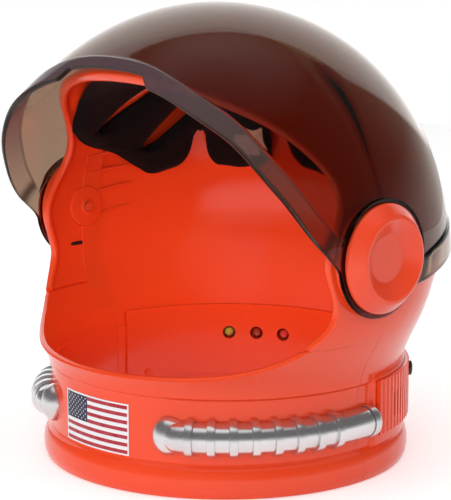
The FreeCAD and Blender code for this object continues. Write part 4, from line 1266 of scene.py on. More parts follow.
    def rear(self) -> None:
        """Make the rear shell and the collar's rear half, open where the compartment is.

        Each row is a level section from the seam to the rear middle. Above eye level the
        section shrinks as the crown form asks, and the seam leans back over the crown until
        the rows end in one point.
        """
        start = math.acos((self.seam + self.gap) / self.collar.band)
        jamb = math.radians(78.0)
        marks = [start, start - 0.012, math.radians(83.2), math.radians(81.8), jamb, 0.0]
        counts = [3, 5, 5, 5, 60]
        turns = np.concatenate([np.linspace(a, b, n + 1)[:-1] for a, b, n in
                                zip(marks[:-1], marks[1:], counts)] + [[0.0]])
        shares = (start - turns) / start
        rail = self.collar.rail * smoothstep((math.radians(83.2) - turns)
                                             / math.radians(1.4))
        outer, inner = self.collar_rows(shares, start, 0.0, rail)
        seam = smooth_line(self.seam_side, 200)
        table = np.linspace(self.form.eye_level, self.form.eye_level + self.form.rear_crown, 4000)
        dome = self.form.rear_depth * (1.0 - ((table - self.form.eye_level)
                                              / self.form.rear_crown) ** 2) ** 0.4
        behind = dome + self.form.middle > np.interp(table, seam[:, 1], seam[:, 0]) + self.gap
        apex = table[behind].max()
        angle = np.linspace(0.0, 1.0, 60)
        crest = (apex - self.form.eye_level) / self.form.rear_crown
        rise = self.form.rear_crown * np.sin(np.arcsin(crest) * angle)
        levels = np.concatenate([[57.05, 57.6, 58.4, 59.0, 59.6],
                                 np.linspace(61.0, self.form.eye_level, 38)[:-1],
                                 self.form.eye_level + rise])
        reach = np.interp(levels, np.append(0.0, seam[:, 1]), np.append(self.seam, seam[:, 0]))
        reach = reach + self.gap
        above = np.clip(levels - self.form.eye_level, 0.0, None)
        shrink = (1.0 - (above / self.form.rear_crown) ** 2) ** 0.4
        width, _, depth, middle, _, power = self.form.section(levels)
        ratio = np.clip((reach - middle) / (depth * shrink), -1.0, 1.0)
        begin = np.arccos(signed_power(ratio, power / 2))
        turn = begin[:, None] * (1.0 - shares)[None, :]
        power = power[:, None]
        across = np.sin(turn) ** (2 / power)
        along = signed_power(np.cos(turn), 2 / power)
        grid = np.stack([width[:, None] * shrink[:, None] * across,
                         middle[:, None] + depth[:, None] * shrink[:, None] * along,
                         np.repeat(levels[:, None], len(shares), 1)], -1)
        radius = np.linalg.norm(grid[:5, :, :2], axis=-1, keepdims=True)
        sill = self.collar.band + rail[None, :, None]
        wanted = np.maximum(radius, sill - np.array([0.0, 0.0, 0.15, 0.7, 2.2])[:, None, None])
        grid[:5, :, :2] *= wanted / radius
        normal = outward_normals(grid)
        below = grid - normal * self.form.wall
        below[:5] = grid[:5] * (np.array([103.5, 103.5, 103.6, 103.8, 104.0])[:, None, None]
                                / np.linalg.norm(grid[:5, :, :2], axis=-1, keepdims=True))
        below[:5, :, 2] = grid[:5, :, 2]
        outer_all = np.concatenate([outer, grid])
        level_mid = 0.5 * (outer_all[:-1, :-1, 2] + outer_all[1:, 1:, 2])
        turn_mid = 0.5 * (turns[:-1] + turns[1:])[None, :]
        hole = (level_mid > 28.0) & (level_mid < 55.9) & (turn_mid < jamb)
        self.wall_piece("rear_and_collar", outer_all, np.concatenate([inner, below]),
                        ["shell_rear"], hole)

    def ear_seats(self) -> None:
        """Make the flat outer seat and the round inner boss at each end of the pivot axis."""
        seat = rounded([(0.0, 124.2, 0), (31.5, 124.2, 0), (31.5, 127.45, 0.4),
                        (0.0, 127.45, 0)])
        boss = rounded([(0.0, 124.0, 0), (0.0, 118.0, 0), (2.7, 118.0, 0.5), (3.0, 119.7, 0.3),
                        (4.6, 119.7, 0.4), (4.8, 120.5, 0.2),
                        (12.9, 120.5, 0.7), (12.9, 124.5, 0)])
        for side, word in SIDES:
            for name, outline in (("ear_seat", seat), ("ear_boss", boss)):
                points, quads = turned_solid(outline, 96)
                self.shop.piece(f"{name}_{word}", on_ear(points, side), quads, "shell_orange")

    def inner_point(self, reach: np.ndarray, level: np.ndarray, sink: float,
                    side: int) -> np.ndarray:
        """Return points on the inner cheek wall, sink millimetres inside it.

        Args:
            reach: their Y.
            level: their height.
            sink: how far inside the wall.
            side: 1 for the wearer's left, -1 for the right.
        Returns:
            The points.
        """
        width = self.form.half_width_at(reach, level, Half.FRONT) - self.form.wall - sink
        return np.stack([side * width, reach, level], -1)

    def inner_ribs(self) -> None:
        """Make the four short ribs on each inner cheek, and a dark piece of painted shade in its
        slot.

        A rib is a tube whose round section follows a straight run on the wall and shrinks to
        its ends with a power of a sine.
        """
        runs = ((-8.0, 168.0, 24.0, 171.0), (-8.5, 156.0, 27.0, 160.0),
                (-8.0, 142.0, 30.0, 147.5), (-8.0, 126.5, 30.0, 133.0))
        for side, word in SIDES:
            ribs = []
            for y0, z0, y1, z1 in runs:
                share = np.linspace(0.0, 1.0, 30)
                spine = self.inner_point(y0 + (y1 - y0) * share, z0 + (z1 - z0) * share,
                                         0.0, side)
                size = 1.5 * np.sin(np.pi * np.clip(share, 0.004, 0.996)) ** 0.35
                ribs.append(capped_tube(rings_along(spine, size, size, 0.8, 14)))
            self.shop.piece(f"inner_ribs_{word}", *joined(ribs), "shell_orange")
            # the slot is a dark capsule sunk in the wall: painted shade where the slot opens
            share = np.linspace(0.0, 1.0, 24)
            spine = self.inner_point(-19.5 + 12.5 * share, np.full(24, 111.3), -0.55, side)
            size = 1.7 * np.sin(np.pi * np.clip(share, 0.003, 0.997)) ** 0.25
            rings = rings_along(spine, np.ones(24), size, 0.95, 16)
            self.shop.piece(f"cheek_slot_{word}", rings.reshape(-1, 3),
                            grid_faces(24, 16, closed=True), "slot_shade", slot="shell_orange")

    def lap_flange(self) -> None:
        """Make the rear shell's thin flange that laps inside each cheek, edge to edge."""
        for side, word in SIDES:
            level = np.linspace(70.0, 168.0, 60)[:, None]
            reach = np.linspace(-9.3, 3.5, 8)[None, :]
            level, reach = np.broadcast_arrays(level, reach)
            grid = self.inner_point(reach, level, 0.55, side)
            skin = one_skin([(grid, np.zeros(1))])
            if side > 0:
                skin.faces = skin.faces[:, ::-1]
            points, quads = skin.thick(0.9, 0.5)
            self.shop.piece(f"lap_flange_{word}", points, quads, "shell_orange")


@dataclass
class Visor:
    """The smoke visor: a dome about the pivot axis with raised rims and a brow notch."""

    shop: Workshop
    radius: float = 135.8
    edge_radius: float = 131.6
    edge_width: float = 134.6
    edge_square: float = 2.5
    flat: float = 130.45
    wall: float = 2.15
    lobe: float = 33.4
    hole: float = 8.2
    band: float = 12.6
    rear_band: float = 17.0
    rise: float = 1.25
    notch_width: float = 36.4
    notch_slant: float = 2.6
    notch_depth: float = 6.4
    edge: Tuple[Tuple[float, float], ...] = (
        (33.0, 190.0), (36.0, 180.8), (40.35, 175.0), (48.3, 167.7), (61.0, 158.6),
        (74.2, 151.3), (84.6, 147.3), (93.5, 144.1), (101.7, 141.3), (107.6, 139.7),
        (119.6, 137.3), (126.0, 135.2), (131.0, 133.3), (136.5, 132.2))

    def build(self) -> None:
        """Make the visor with its lobes as one closed wall."""
        main, lift = self.dome()
        grids = [(main, lift)]
        for row in (0, -1):
            grids.append(self.lobe_disc(main[row], lift[row]))
        skin = one_skin(grids).outwards()
        points, quads = skin.thick(self.wall, 0.5)
        loop = np.unique(skin.rim()[0])
        rows = np.tile(skin.lift[loop], 3)
        # the UV's Y places the rim's painted reflection, stronger towards the top; its X places the
        # crease's painted shade
        rim_reflection_share = np.concatenate([skin.lift, skin.lift, rows]) / self.rise
        raised = np.concatenate([skin.lift, skin.lift, rows * 0.5]) / self.rise
        rim_reflection_share = rim_reflection_share * smoothstep((points[:, 2] - 140.0) / 100.0)
        self.shop.piece("smoke_visor", points, quads, "visor_smoke", Body.VISOR, ["visor"],
                        crease=50.0, uv=np.stack([raised, rim_reflection_share], 1))

    def dome(self) -> Pair:
        """Return the dome's grid, and how far each point is raised for the rims.

        A row has a lean angle from one lobe over the top to the other; a column has a turn
        about the pivot axis from the front edge to the rear edge. The distance along X is the
        half width times a power of the lean's cosine and the distance from the axis is the
        radius times the same power of its sine. The power is two over the squareness, which
        grows from 2.03 on the dome to 2.5 at the front edge.
        """
        lean_low = math.asin((self.lobe / self.edge_radius) ** (0.5 * self.edge_square))
        corner = math.acos((self.notch_width / self.edge_width) ** (0.5 * self.edge_square))
        near = corner + np.linspace(-0.045, 0.045, 25)
        even = np.linspace(lean_low, 0.5 * math.pi, 121)
        even = even[(even < near[0] - 0.004) | (even > near[-1] + 0.004)]
        lean = np.sort(np.concatenate([even, near]))
        lean = np.concatenate([lean, (math.pi - lean[::-1])[1:]])
        rows = len(lean)
        across = self.edge_width * signed_power(np.cos(lean), 2.0 / self.edge_square)
        axle = self.edge_radius * np.sin(lean) ** (2.0 / self.edge_square)
        axle[[0, -1]] = self.lobe
        table = smooth_line(self.edge, 300)
        front = np.radians(np.interp(axle, table[:, 0], table[:, 1]))
        rear = np.radians(-78.4) + np.arccos(np.clip(28.0 / axle, -1, 1))
        inside = 1.0 - smoothstep((np.abs(across) - self.notch_width)
                                  / self.notch_slant * 0.5 + 0.5)
        cut = self.notch_depth * inside
        near = np.array([0.0, 1.2, 3.0, 5.5, 8.0, 10.0, 11.5])
        close = np.array([0.0, 0.5, 1.1, 2.2, 4.5, 8.0, 13.0])
        depth = cut[:, None] + (self.band - cut)[:, None] * (near / self.band)[None, :]
        front_part = np.concatenate([depth, self.band - 0.6 + np.broadcast_to(
            close, (rows, len(close)))], 1)
        rear_part = np.concatenate([
            self.rear_band + 0.5 + close[::-1], [16.6, 16.0, 13.0, 10.0, 7.0, 4.0, 1.5, 0.0]])
        front_turn = front[:, None] - front_part / axle[:, None]
        rear_turn = rear[:, None] + rear_part[None, :] / axle[:, None]
        share = np.linspace(0.0, 1.0, 90)[None, 1:-1]
        middle = front_turn[:, -1:] * (1 - share) + rear_turn[:, :1] * share
        turn = np.concatenate([front_turn, middle, rear_turn], 1)
        from_front = (front[:, None] - turn) * axle[:, None]
        from_rear = (turn - rear[:, None]) * axle[:, None]
        square = self.squareness(from_front, from_rear)
        rim_share = 1.0 - np.clip(from_front / self.band, 0.0, 1.0)
        width = 133.0 + (self.edge_width - 133.0) * rim_share
        radius = self.radius + (self.edge_radius - self.radius) * rim_share
        cosine = np.cos(lean)[:, None]
        x = width * signed_power(cosine, 2.0 / square)
        x = np.clip(x, -self.flat, self.flat)
        away = radius * np.sin(lean)[:, None] ** (2.0 / square)
        at_lobe = smoothstep((axle[:, None] - self.lobe) / 6.0)
        away = away * at_lobe + axle[:, None] * (1.0 - at_lobe)
        x = x * at_lobe + np.sign(cosine) * self.flat * (1.0 - at_lobe)
        grid = np.stack([x, PIVOT[1] + away * np.cos(turn), PIVOT[2] + away * np.sin(turn)], -1)
        fade = smoothstep((axle[:, None] - 38.0) / 16.0)
        front_lift = 1.0 - smoothstep((from_front - self.band + 0.9) / 1.6)
        rear_lift = 1.0 - smoothstep((from_rear - self.rear_band + 0.9) / 1.6)
        return grid, self.rise * np.maximum(front_lift, rear_lift) * fade

    def squareness(self, from_front: np.ndarray, from_rear: np.ndarray) -> np.ndarray:
        """Return the section's power from the distances to the front and rear edges.

        Args:
            from_front: distance from the front edge.
            from_rear: distance from the rear edge.
        Returns:
            A power per point.
        """
        rim = 2.2 + 0.3 * (1.0 - np.clip(from_front / self.band, 0.0, 1.0))
        fall = 0.17 * np.exp(-np.clip(from_front - self.band, 0.0, None) / 26.0)
        front = np.where(from_front < self.band, rim, 2.03 + fall)
        rear = 2.03 + 0.17 * np.exp(-np.clip(from_rear, 0.0, None) / 30.0)
        return np.maximum(front, rear)

    def lobe_disc(self, ring: np.ndarray, lift: np.ndarray) -> Pair:
        """Return a lobe's grid: the dome's end row closed to a circle and shrunk to the hole.

        Args:
            ring: the dome's end row.
            lift: its lift.
        Returns:
            The grid and its lift.
        """
        side = float(np.sign(ring[:, 0].mean()))
        turn = np.arctan2(ring[:, 2] - PIVOT[2], ring[:, 1] - PIVOT[1])
        first, last = np.unwrap(turn)[0], np.unwrap(turn)[-1]
        extra = np.linspace(last, first - 2.0 * math.pi, 40)[1:]
        arc = np.stack([np.full(len(extra), side * self.flat),
                        PIVOT[1] + self.lobe * np.cos(extra),
                        PIVOT[2] + self.lobe * np.sin(extra)], 1)
        whole = np.concatenate([ring, arc])
        whole[-1] = ring[0]
        shrink = np.linspace(1.0, self.hole / self.lobe, 12)[:, None, None]
        middle = np.array([0.0, PIVOT[1], PIVOT[2]])
        grid = middle + (whole[None] - middle) * np.concatenate(
            [np.ones((12, 1, 1)), shrink, shrink], 2)
        lifts = np.zeros(grid.shape[:2])
        lifts[0, :len(lift)] = lift
        return (grid, lifts) if side < 0 else (grid[:, ::-1], lifts[:, ::-1])


@dataclass
class Ears:
    """The turned cap at each end of the pivot axis."""

    shop: Workshop
    base: float = 30.9
    crest: float = 23.6
    dish: float = 13.2

    def build(self) -> None:
        """Make both caps by turning one rounded outline about the pivot axis."""
        outline = rounded([
            (0.0, 133.0, 0), (self.dish - 1.0, 133.0, 0), (22.0, 137.6, 0),
            (29.0, 132.2, 0), (29.0, 130.95, 0), (self.base, 130.95, 0.25),
            (self.base, 133.1, 0.9), (self.crest + 0.9, 139.9, 1.0),
            (self.crest - 1.1, 140.35, 0.7), (self.dish + 0.6, 134.3, 0.5),
            (self.dish - 0.1, 134.0, 0.3), (7.0, 133.85, 0), (0.0, 133.8, 0)], 6)
        for side, word in SIDES:
            points, quads = turned_solid(outline, 160)
            self.shop.piece(f"ear_disc_{word}", on_ear(points, side), quads, "cap_orange",
                            replaces=[f"ear_cap_{word}"], crease=30.0)


@dataclass
class Hoses:
    """The two silver half-round hoses on the collar band."""

    shop: Workshop
    line: float = 107.5
    level: float = 34.8
    seat: float = 105.56
    tube: float = 9.0
    bulb: float = 11.3
    round: int = 72
    rib: float = 1.6
    ribs: int = 8
    start: float = -63.0
    first_rib: float = -54.7
    spacing: float = 6.35
    half_rib: float = 1.22
    end: float = 3.0

    def build(self) -> None:
        """Make each hose with its bulb, and its separate end cap."""
        for side, word in SIDES:
            points, quads = joined([self.tube_mesh(), self.bulb_mesh()])
            points[:, 0] *= side
            self.shop.piece(f"ribbed_hose_{word}", points, quads, "hose_silver",
                            replaces=[f"hose_{word}"], crease=34.0)
            cap, cap_quads = self.cap_mesh()
            cap[:, 0] *= side
            self.shop.piece(f"hose_cap_{word}", cap, cap_quads, "hose_silver",
                            replaces=[f"hose_end_{word}"])

    def swept(self, azimuth: np.ndarray, height: np.ndarray, line: float,
              depth: np.ndarray) -> Pair:
        """Carry an ellipse of changing size round the collar and flatten it on the band.

        Args:
            azimuth: stations in degrees from the wearer's left.
            height: the ellipse's half height at each station.
            line: the distance of its middle from the collar's axis.
            depth: its half depth at each station.
        Returns:
            Points and quads of a closed tube, any point nearer the axis than the seat being
            moved out to it.
        """
        around = np.linspace(0.0, 2.0 * np.pi, self.round, endpoint=False)
        out = line + depth[:, None] * np.cos(around)[None, :]
        out = np.maximum(out, self.seat)
        level = self.level + height[:, None] * np.sin(around)[None, :]
        turn = np.radians(azimuth)[:, None]
        return capped_tube(np.stack([out * np.cos(turn), out * np.sin(turn), level], -1))

    def tube_mesh(self) -> Pair:
        """Return the tube: a round nose, then raised ribs with steep sides at even spacing."""
        centres = self.first_rib + self.spacing * np.arange(self.ribs)
        marks = [np.linspace(self.start, self.start + 3.4, 16)]
        for centre in centres:
            inner, outer = self.half_rib - 0.16, self.half_rib + 0.06
            marks.append(centre + np.array([-outer - 0.5, -outer - 0.1, -outer, -inner,
                                            -0.6 * inner, -0.3, 0.3, 0.6 * inner, inner,
                                            outer, outer + 0.1, outer + 0.5]))
        marks.append(np.linspace(centres[-1] + 2.6, self.end, 14))
        azimuth = np.sort(np.concatenate(marks))
        away = np.abs(azimuth[:, None] - centres[None, :]).min(1)
        raised = 1.0 - smoothstep((away - self.half_rib + 0.14) / 0.2)
        crown = 0.22 * (1.0 - np.clip(away / self.half_rib, 0, 1) ** 2)
        radius = self.tube + raised * (self.rib + crown)
        nose = np.clip((azimuth - self.start) / 4.6, 0.0, 1.0)
        radius = radius * np.sqrt(np.clip(1.0 - (1.0 - nose) ** 2, 1e-4, 1.0)) ** 0.8
        radius[-1] *= 0.985
        return self.swept(azimuth, radius, self.line, radius)

    def bulb_mesh(self) -> Pair:
        """Return the bulb round the hose's front end, a low dome drawn in towards the tube."""
        azimuth = np.linspace(-66.8, -55.9, 40)
        share = (azimuth + 66.8) / 10.9
        head = np.sqrt(np.clip(1.0 - ((0.45 - share) / 0.45) ** 2, 1e-4, 1.0))
        tail = 1.0 - 0.22 * smoothstep((share - 0.45) / 0.55)
        size = self.bulb * np.where(share < 0.45, head, tail)
        return self.swept(azimuth, size, 105.4, 8.8 * (size / self.bulb))

    def cap_mesh(self) -> Pair:
        """Return the end cap: a short sleeve with a rounded far end."""
        azimuth = np.concatenate([[3.18, 3.3, 3.5], np.linspace(3.9, 5.0, 5),
                                  np.linspace(5.2, 7.1, 14)])
        share = np.clip((azimuth - 5.0) / 2.12, 0.0, 1.0)
        radius = 9.75 * np.sqrt(np.clip(1.0 - share ** 2.6, 1e-3, 1.0)) ** 0.8
        radius[0] *= 0.975
        return self.swept(azimuth, radius, self.line, radius)


@dataclass
class FlagLabel:
    """The printed flag on the collar's front, with its stars as raised ink."""

    shop: Workshop
    radius: float = 105.55
    wall: float = 0.35
    width: float = 54.0
    height: float = 30.0
    level: float = 34.8
    border: float = 0.03

    def build(self) -> None:
        """Make the label as a thin bent sheet and its fifty stars as one inked piece."""
        share = np.linspace(0.0, 1.0, 65)
        rise = np.linspace(0.0, 1.0, 17)
        across, up = np.meshgrid(share, rise)
        flat = np.stack([across, up], -1)
        grid = self.bent(flat, self.wall)
        below = self.bent(flat, 0.0)
        skin = Skin(grid.reshape(-1, 3), grid_faces(17, 65), np.zeros(grid.size // 3),
                    below.reshape(-1, 3))
        points, quads = skin.thick(self.wall, 0.2, 2)
        turn = np.arctan2(points[:, 0], -points[:, 1])
        uv = np.stack([turn * self.radius / self.width + 0.5,
                       (points[:, 2] - self.level) / self.height + 0.5], 1)
        item = self.shop.piece("flag_sheet", points, quads, "flag_print",
                               replaces=["flag_label"], uv=uv)
        stars = self.stars()

    def bent(self, flat: np.ndarray, rise: float) -> np.ndarray:
        """Bend label shares round the band, rise millimetres above it.

        Args:
            flat: shares of the width and of the height.
            rise: height over the band.
        Returns:
            The points.
        """
        turn = (flat[..., 0] - 0.5) * self.width / self.radius
        out = self.radius + rise
        return np.stack([out * np.sin(turn), -out * np.cos(turn),
                         self.level + (flat[..., 1] - 0.5) * self.height], -1)

    def stars(self) -> bpy.types.Object:
        """Make the stars: nine rows of six and five, each a flat ten-cornered star.

        Corner k lies at a radius that swaps between outer and inner, turned by 36 degrees k.
        """
        low = self.border + (1.0 - 2.0 * self.border) * 6.0 / 13.0
        left = self.border * 0.55
        wide = 0.4 * (1.0 - 1.1 * self.border)
        tall = 1.0 - self.border - low
        centres = []
        for row in range(9):
            count = 6 if row % 2 == 0 else 5
            for column in range(count):
                offset = 1 if count == 6 else 2
                centres.append((left + wide * (offset + 2 * column) / 12.0,
                                low + tall * (9 - row) / 10.0))
        centres = np.asarray(centres)
        corner = np.arange(10)
        turn = np.pi / 2 + corner * np.pi / 5
        size = np.where(corner % 2 == 0, 0.62, 0.25)
        star = np.stack([size * np.cos(turn) / self.width,
                         size * np.sin(turn) / self.height], 1)
        flat = np.concatenate([centres[:, None, :] + star[None], centres[:, None, :]], 1)
        top = self.bent(flat, self.wall + 0.05)
        base = self.bent(flat, self.wall - 0.1)
        points = np.concatenate([top, base], 1).reshape(-1, 3)
        after = (corner + 1) % 10
        upper = np.stack([corner * 0 + 10, corner, after, after], 1)
        lower = np.stack([corner * 0 + 21, after + 11, corner + 11, corner + 11], 1)
        side = np.stack([corner, corner + 11, after + 11, after], 1)
        one = np.concatenate([upper, lower, side])
        quads = (one[None] + 22 * np.arange(len(centres))[:, None, None]).reshape(-1, 4)
        return self.shop.piece("flag_stars", points, quads, "flag_star", slot="flag_print",
                               crease=20.0)


@dataclass
class CrownPad:
    """The foam pad under the crown: petals with slots between them, and its blank tag."""

    shop: Workshop
    form: HeadForm = field(default_factory=HeadForm)
    clear: float = 4.0
    foam: float = 7.0
    columns: Tuple[int, ...] = (22, 20, 18, 16, 50)
    bases: Tuple[float, ...] = (0.0, 25.5, 53.2, 72.6, 93.0, 180.0)
    rim: Tuple[Tuple[float, float], ...] = (
        (0.0, 6.0), (12.0, 7.5), (24.0, 10.5), (40.0, 10.0), (52.0, 10.5), (65.0, 8.8),
        (73.0, 11.2), (83.0, 17.0), (92.0, 19.6), (100.0, 23.0), (108.6, 31.4),
        (122.0, 43.0), (140.0, 52.0), (160.0, 56.5), (180.0, 58.0))

    def build(self) -> None:
        halves = [self.half_grids(side) for side, _ in SIDES]
        outer = np.concatenate([points.reshape(-1, 3) for points, _ in halves])
        foam = np.concatenate([thickness.reshape(-1) for _, thickness in halves])
        rows, columns = halves[0][1].shape
        half = grid_faces(rows, columns)
        faces = self.without_slots([half, half[:, ::-1] + rows * columns], rows, columns)
        inner = outer - unit(outer - HEART) * foam[:, None]
        skin = Skin(outer, faces, np.zeros(len(outer)), inner).merged().used().outwards()
        points, quads = skin.thick(1.0, 0.9, 5)
        item = self.shop.piece("foam_pad", points, quads, "pad_foam",
                               replaces=["crown_pad"], crease=80.0)
        self.tag()

    def guides(self, lift: np.ndarray) -> List[Pair]:
        """Return the middle line and the opening of each slot at elevations in degrees.

        Two slots are open at the rim and close with a square root; two are closed at both
        ends, with the root of a sine between their ends.
        """
        def open_slot(middle: float, base: float, flare: float, top: float) -> Tuple:
            width = base + 1.2 + flare * np.exp(-np.clip(lift - 9.5, 0, None) / 3.6)
            return (np.full_like(lift, middle),
                    width * np.sqrt(np.clip((top - lift) / 4.0, 0.0, 1.0)))

        def closed_slot(low: float, high: float, at_low: float, slope: float,
                        width: float) -> Tuple:
            share = np.clip((lift - low) / (high - low), 0.0, 1.0)
            middle = at_low + slope * np.clip(lift - low, 0.0, high - low)
            wide = width / np.cos(np.radians(np.clip(lift, 0.0, 70.0)))
            return middle, wide * np.sin(np.pi * share) ** 0.22

        return [open_slot(25.5, 5.6, 10.0, 28.0), open_slot(53.2, 4.4, 10.0, 26.0),
                closed_slot(18.5, 56.0, 72.6, -0.72, 8.6),
                closed_slot(25.5, 56.0, 93.0, -0.70, 5.2)]

    def half_grids(self, side: int) -> Pair:
        """Return one half of the pad: outer points and the foam's thickness.

        A column has a bearing from the rear middle plane, a row a share of the way from the
        rim to the top. Columns between two slots share out the bearings that the slots leave.

        Args:
            side: 1 for the wearer's left, -1 for the right.
        Returns:
            Points and thickness, rows by columns.
        """
        rows = 70
        rim = smooth_line(self.rim, 400)
        step = np.linspace(0.0, 1.0, rows) ** 1.15
        bases = self.bases
        grid_bearing, grid_lift = [], []
        for part, count in enumerate(self.columns):
            share = np.linspace(0.0, 1.0, count)
            nominal = bases[part] + (bases[part + 1] - bases[part]) * share
            low = np.interp(nominal, rim[:, 0], rim[:, 1])
            lift = low[None, :] + (89.6 - low)[None, :] * step[:, None]
            left = self.guides(lift)[part - 1] if part > 0 else None
            right = self.guides(lift)[part] if part < 4 else None
            start = left[0] + 0.5 * left[1] if left else np.zeros_like(lift)
            end = right[0] - 0.5 * right[1] if right else np.full_like(lift, 180.0)
            grid_bearing.append(start + (end - start) * share[None, :])
            grid_lift.append(lift)
        bearing = np.radians(np.concatenate(grid_bearing, 1))
        lift = np.radians(np.concatenate(grid_lift, 1))
        ray = np.stack([side * np.sin(bearing) * np.cos(lift), np.cos(bearing) * np.cos(lift),
                        np.sin(lift)], -1)
        reach = self.form.along(ray, Half.LINING) - self.clear
        reach[-1] = reach[-1].mean()
        ray[-1] = np.array([0.0, 0.0, 1.0])
        from_rim = np.cumsum(np.concatenate([np.zeros((1, reach.shape[1])), np.linalg.norm(
            np.diff(ray * reach[..., None], axis=0), axis=-1)]), axis=0)
        swell = 1.0 - 0.62 * np.exp(-from_rim / 4.5)
        edge = self.from_slots(bearing, lift, reach)
        swell = swell * (1.0 - 0.5 * np.exp(-edge / 3.5))
        return HEART + ray * reach[..., None], self.foam * swell

    def from_slots(self, bearing: np.ndarray, lift: np.ndarray,
                   reach: np.ndarray) -> np.ndarray:
        """Return each point's distance along its row to the nearest open slot edge.

        Args:
            bearing: in radians from the rear middle.
            lift: elevation in radians.
            reach: distance from the heart.
        Returns:
            Distances in millimetres, up to 60.
        """
        away = np.full(bearing.shape, 60.0)
        degrees = np.degrees(lift)
        for middle, width in self.guides(degrees):
            off = np.abs(np.degrees(bearing) - middle) - 0.5 * width
            span = np.radians(np.clip(off, 0.0, None)) * reach * np.cos(lift)
            away = np.minimum(away, np.where(width > 0.05, span, 60.0))
        return away

    def without_slots(self, faces: Sequence[np.ndarray], rows: int,
                      columns: int) -> np.ndarray:
        """Drop the faces that would bridge two neighbouring parts of each half.

        Args:
            faces: the quads of each half, row by row.
            rows: rows of points in a half.
            columns: columns of points in a half.
        Returns:
            The faces that stay, of both halves.
        """
        bridge = np.zeros(columns - 1, bool)
        bridge[np.cumsum(self.columns[:-1]) - 1] = True
        kept = ~np.tile(bridge, rows - 1)
        return np.concatenate([half[kept] for half in faces])

    def tag(self) -> None:
        """Make the blank woven tag that hangs beside a petal, a little curled."""
        across = np.linspace(-0.5, 0.5, 13)
        up = np.linspace(-0.5, 0.5, 17)
        a, b = np.meshgrid(across, up)
        bearing = np.radians(34.9 - a * 9.0)
        lift = np.radians(22.2 + b * 11.2)
        ray = np.stack([-np.sin(bearing) * np.cos(lift), np.cos(bearing) * np.cos(lift),
                        np.sin(lift)], -1)
        reach = self.form.along(ray, Half.REAR) - 18.2 - 1.2 * np.cos(3.0 * b)
        grid = HEART + ray * reach[..., None]
        skin = one_skin([(grid, np.zeros(1))])
        points, quads = skin.thick(0.35, 0.3, 2)
        item = self.shop.piece("blank_tag", points, quads, "tag_cloth", replaces=["pad_tag"])


@dataclass
class Compartment:
    """What shows of the rear collar compartment: lights, button and kept CAD parts."""

    shop: Workshop
    light_level: float = 47.0
    light_angles: Tuple[float, float, float] = (134.3, 124.0, 113.7)
    base: float = 107.4
    tip: float = 100.9
    round: float = 3.15

    def build(self) -> None:
        """Make the lights and the button, then dress the CAD parts that stay."""
        dome = self.dome_outline()
        for colour, angle in zip(("green", "amber", "red"), self.light_angles):
            points, quads = turned_solid(dome, 48)
            self.shop.piece(f"dome_{colour}", on_radius(points, angle, self.light_level), quads,
                            f"light_{colour}", replaces=[f"light_{colour}"])
        outline = rounded([(0.0, 107.1, 0), (5.5, 107.1, 0.2), (5.5, 108.3, 0.2),
                           (4.5, 108.3, 0), (4.5, 112.6, 0.5), (3.0, 113.5, 1.2),
                           (0.0, 113.5, 0)], 6)
        points, quads = turned_solid(outline, 64)
        self.shop.piece("push_button", on_radius(points, 42.0, 50.2), quads, "button_black",
                        Body.BUTTON, ["sound_button"])
        kept = {
            "fluted_cover": "shell_orange", "battery_door": "shell_orange",
            "inner_cover": "shell_orange", "pivot_bush_left": "pivot_plastic",
            "pivot_bush_right": "pivot_plastic", "friction_washer_left": "washer_black",
            "friction_washer_right": "washer_black", "pivot_screw_left": "screw_steel",
            "pivot_screw_right": "screw_steel", "door_screw": "screw_steel",
            "inner_cover_screws": "screw_painted", "battery_tray": "switch_black",
            "button_cells": "cell_steel", "battery_contact": "cell_steel",
            # the light strip behind the holes takes a painted shade of the shell orange
            "light_strip": "strip_shaded_red", "button_switch": "switch_black",
            "speaker": "speaker_steel", "speaker_gasket": "foam_black",
            "sound_board": "board_green", "wire_loom": "wire_black",
        }
        for node, finish in kept.items():
            self.shop.dress(node, finish)

    def dome_outline(self) -> np.ndarray:
        """Return the light's outline: a flange, a barrel and a round tip towards the axis."""
        turn = np.linspace(0.0, np.pi / 2, 14)
        tip = np.stack([self.round * np.cos(turn),
                        self.tip + self.round * (1.0 - np.sin(turn))], 1)
        return np.concatenate([[[0.0, self.base], [3.6, self.base], [3.6, self.base - 0.9],
                                [self.round, self.base - 1.0]], tip])


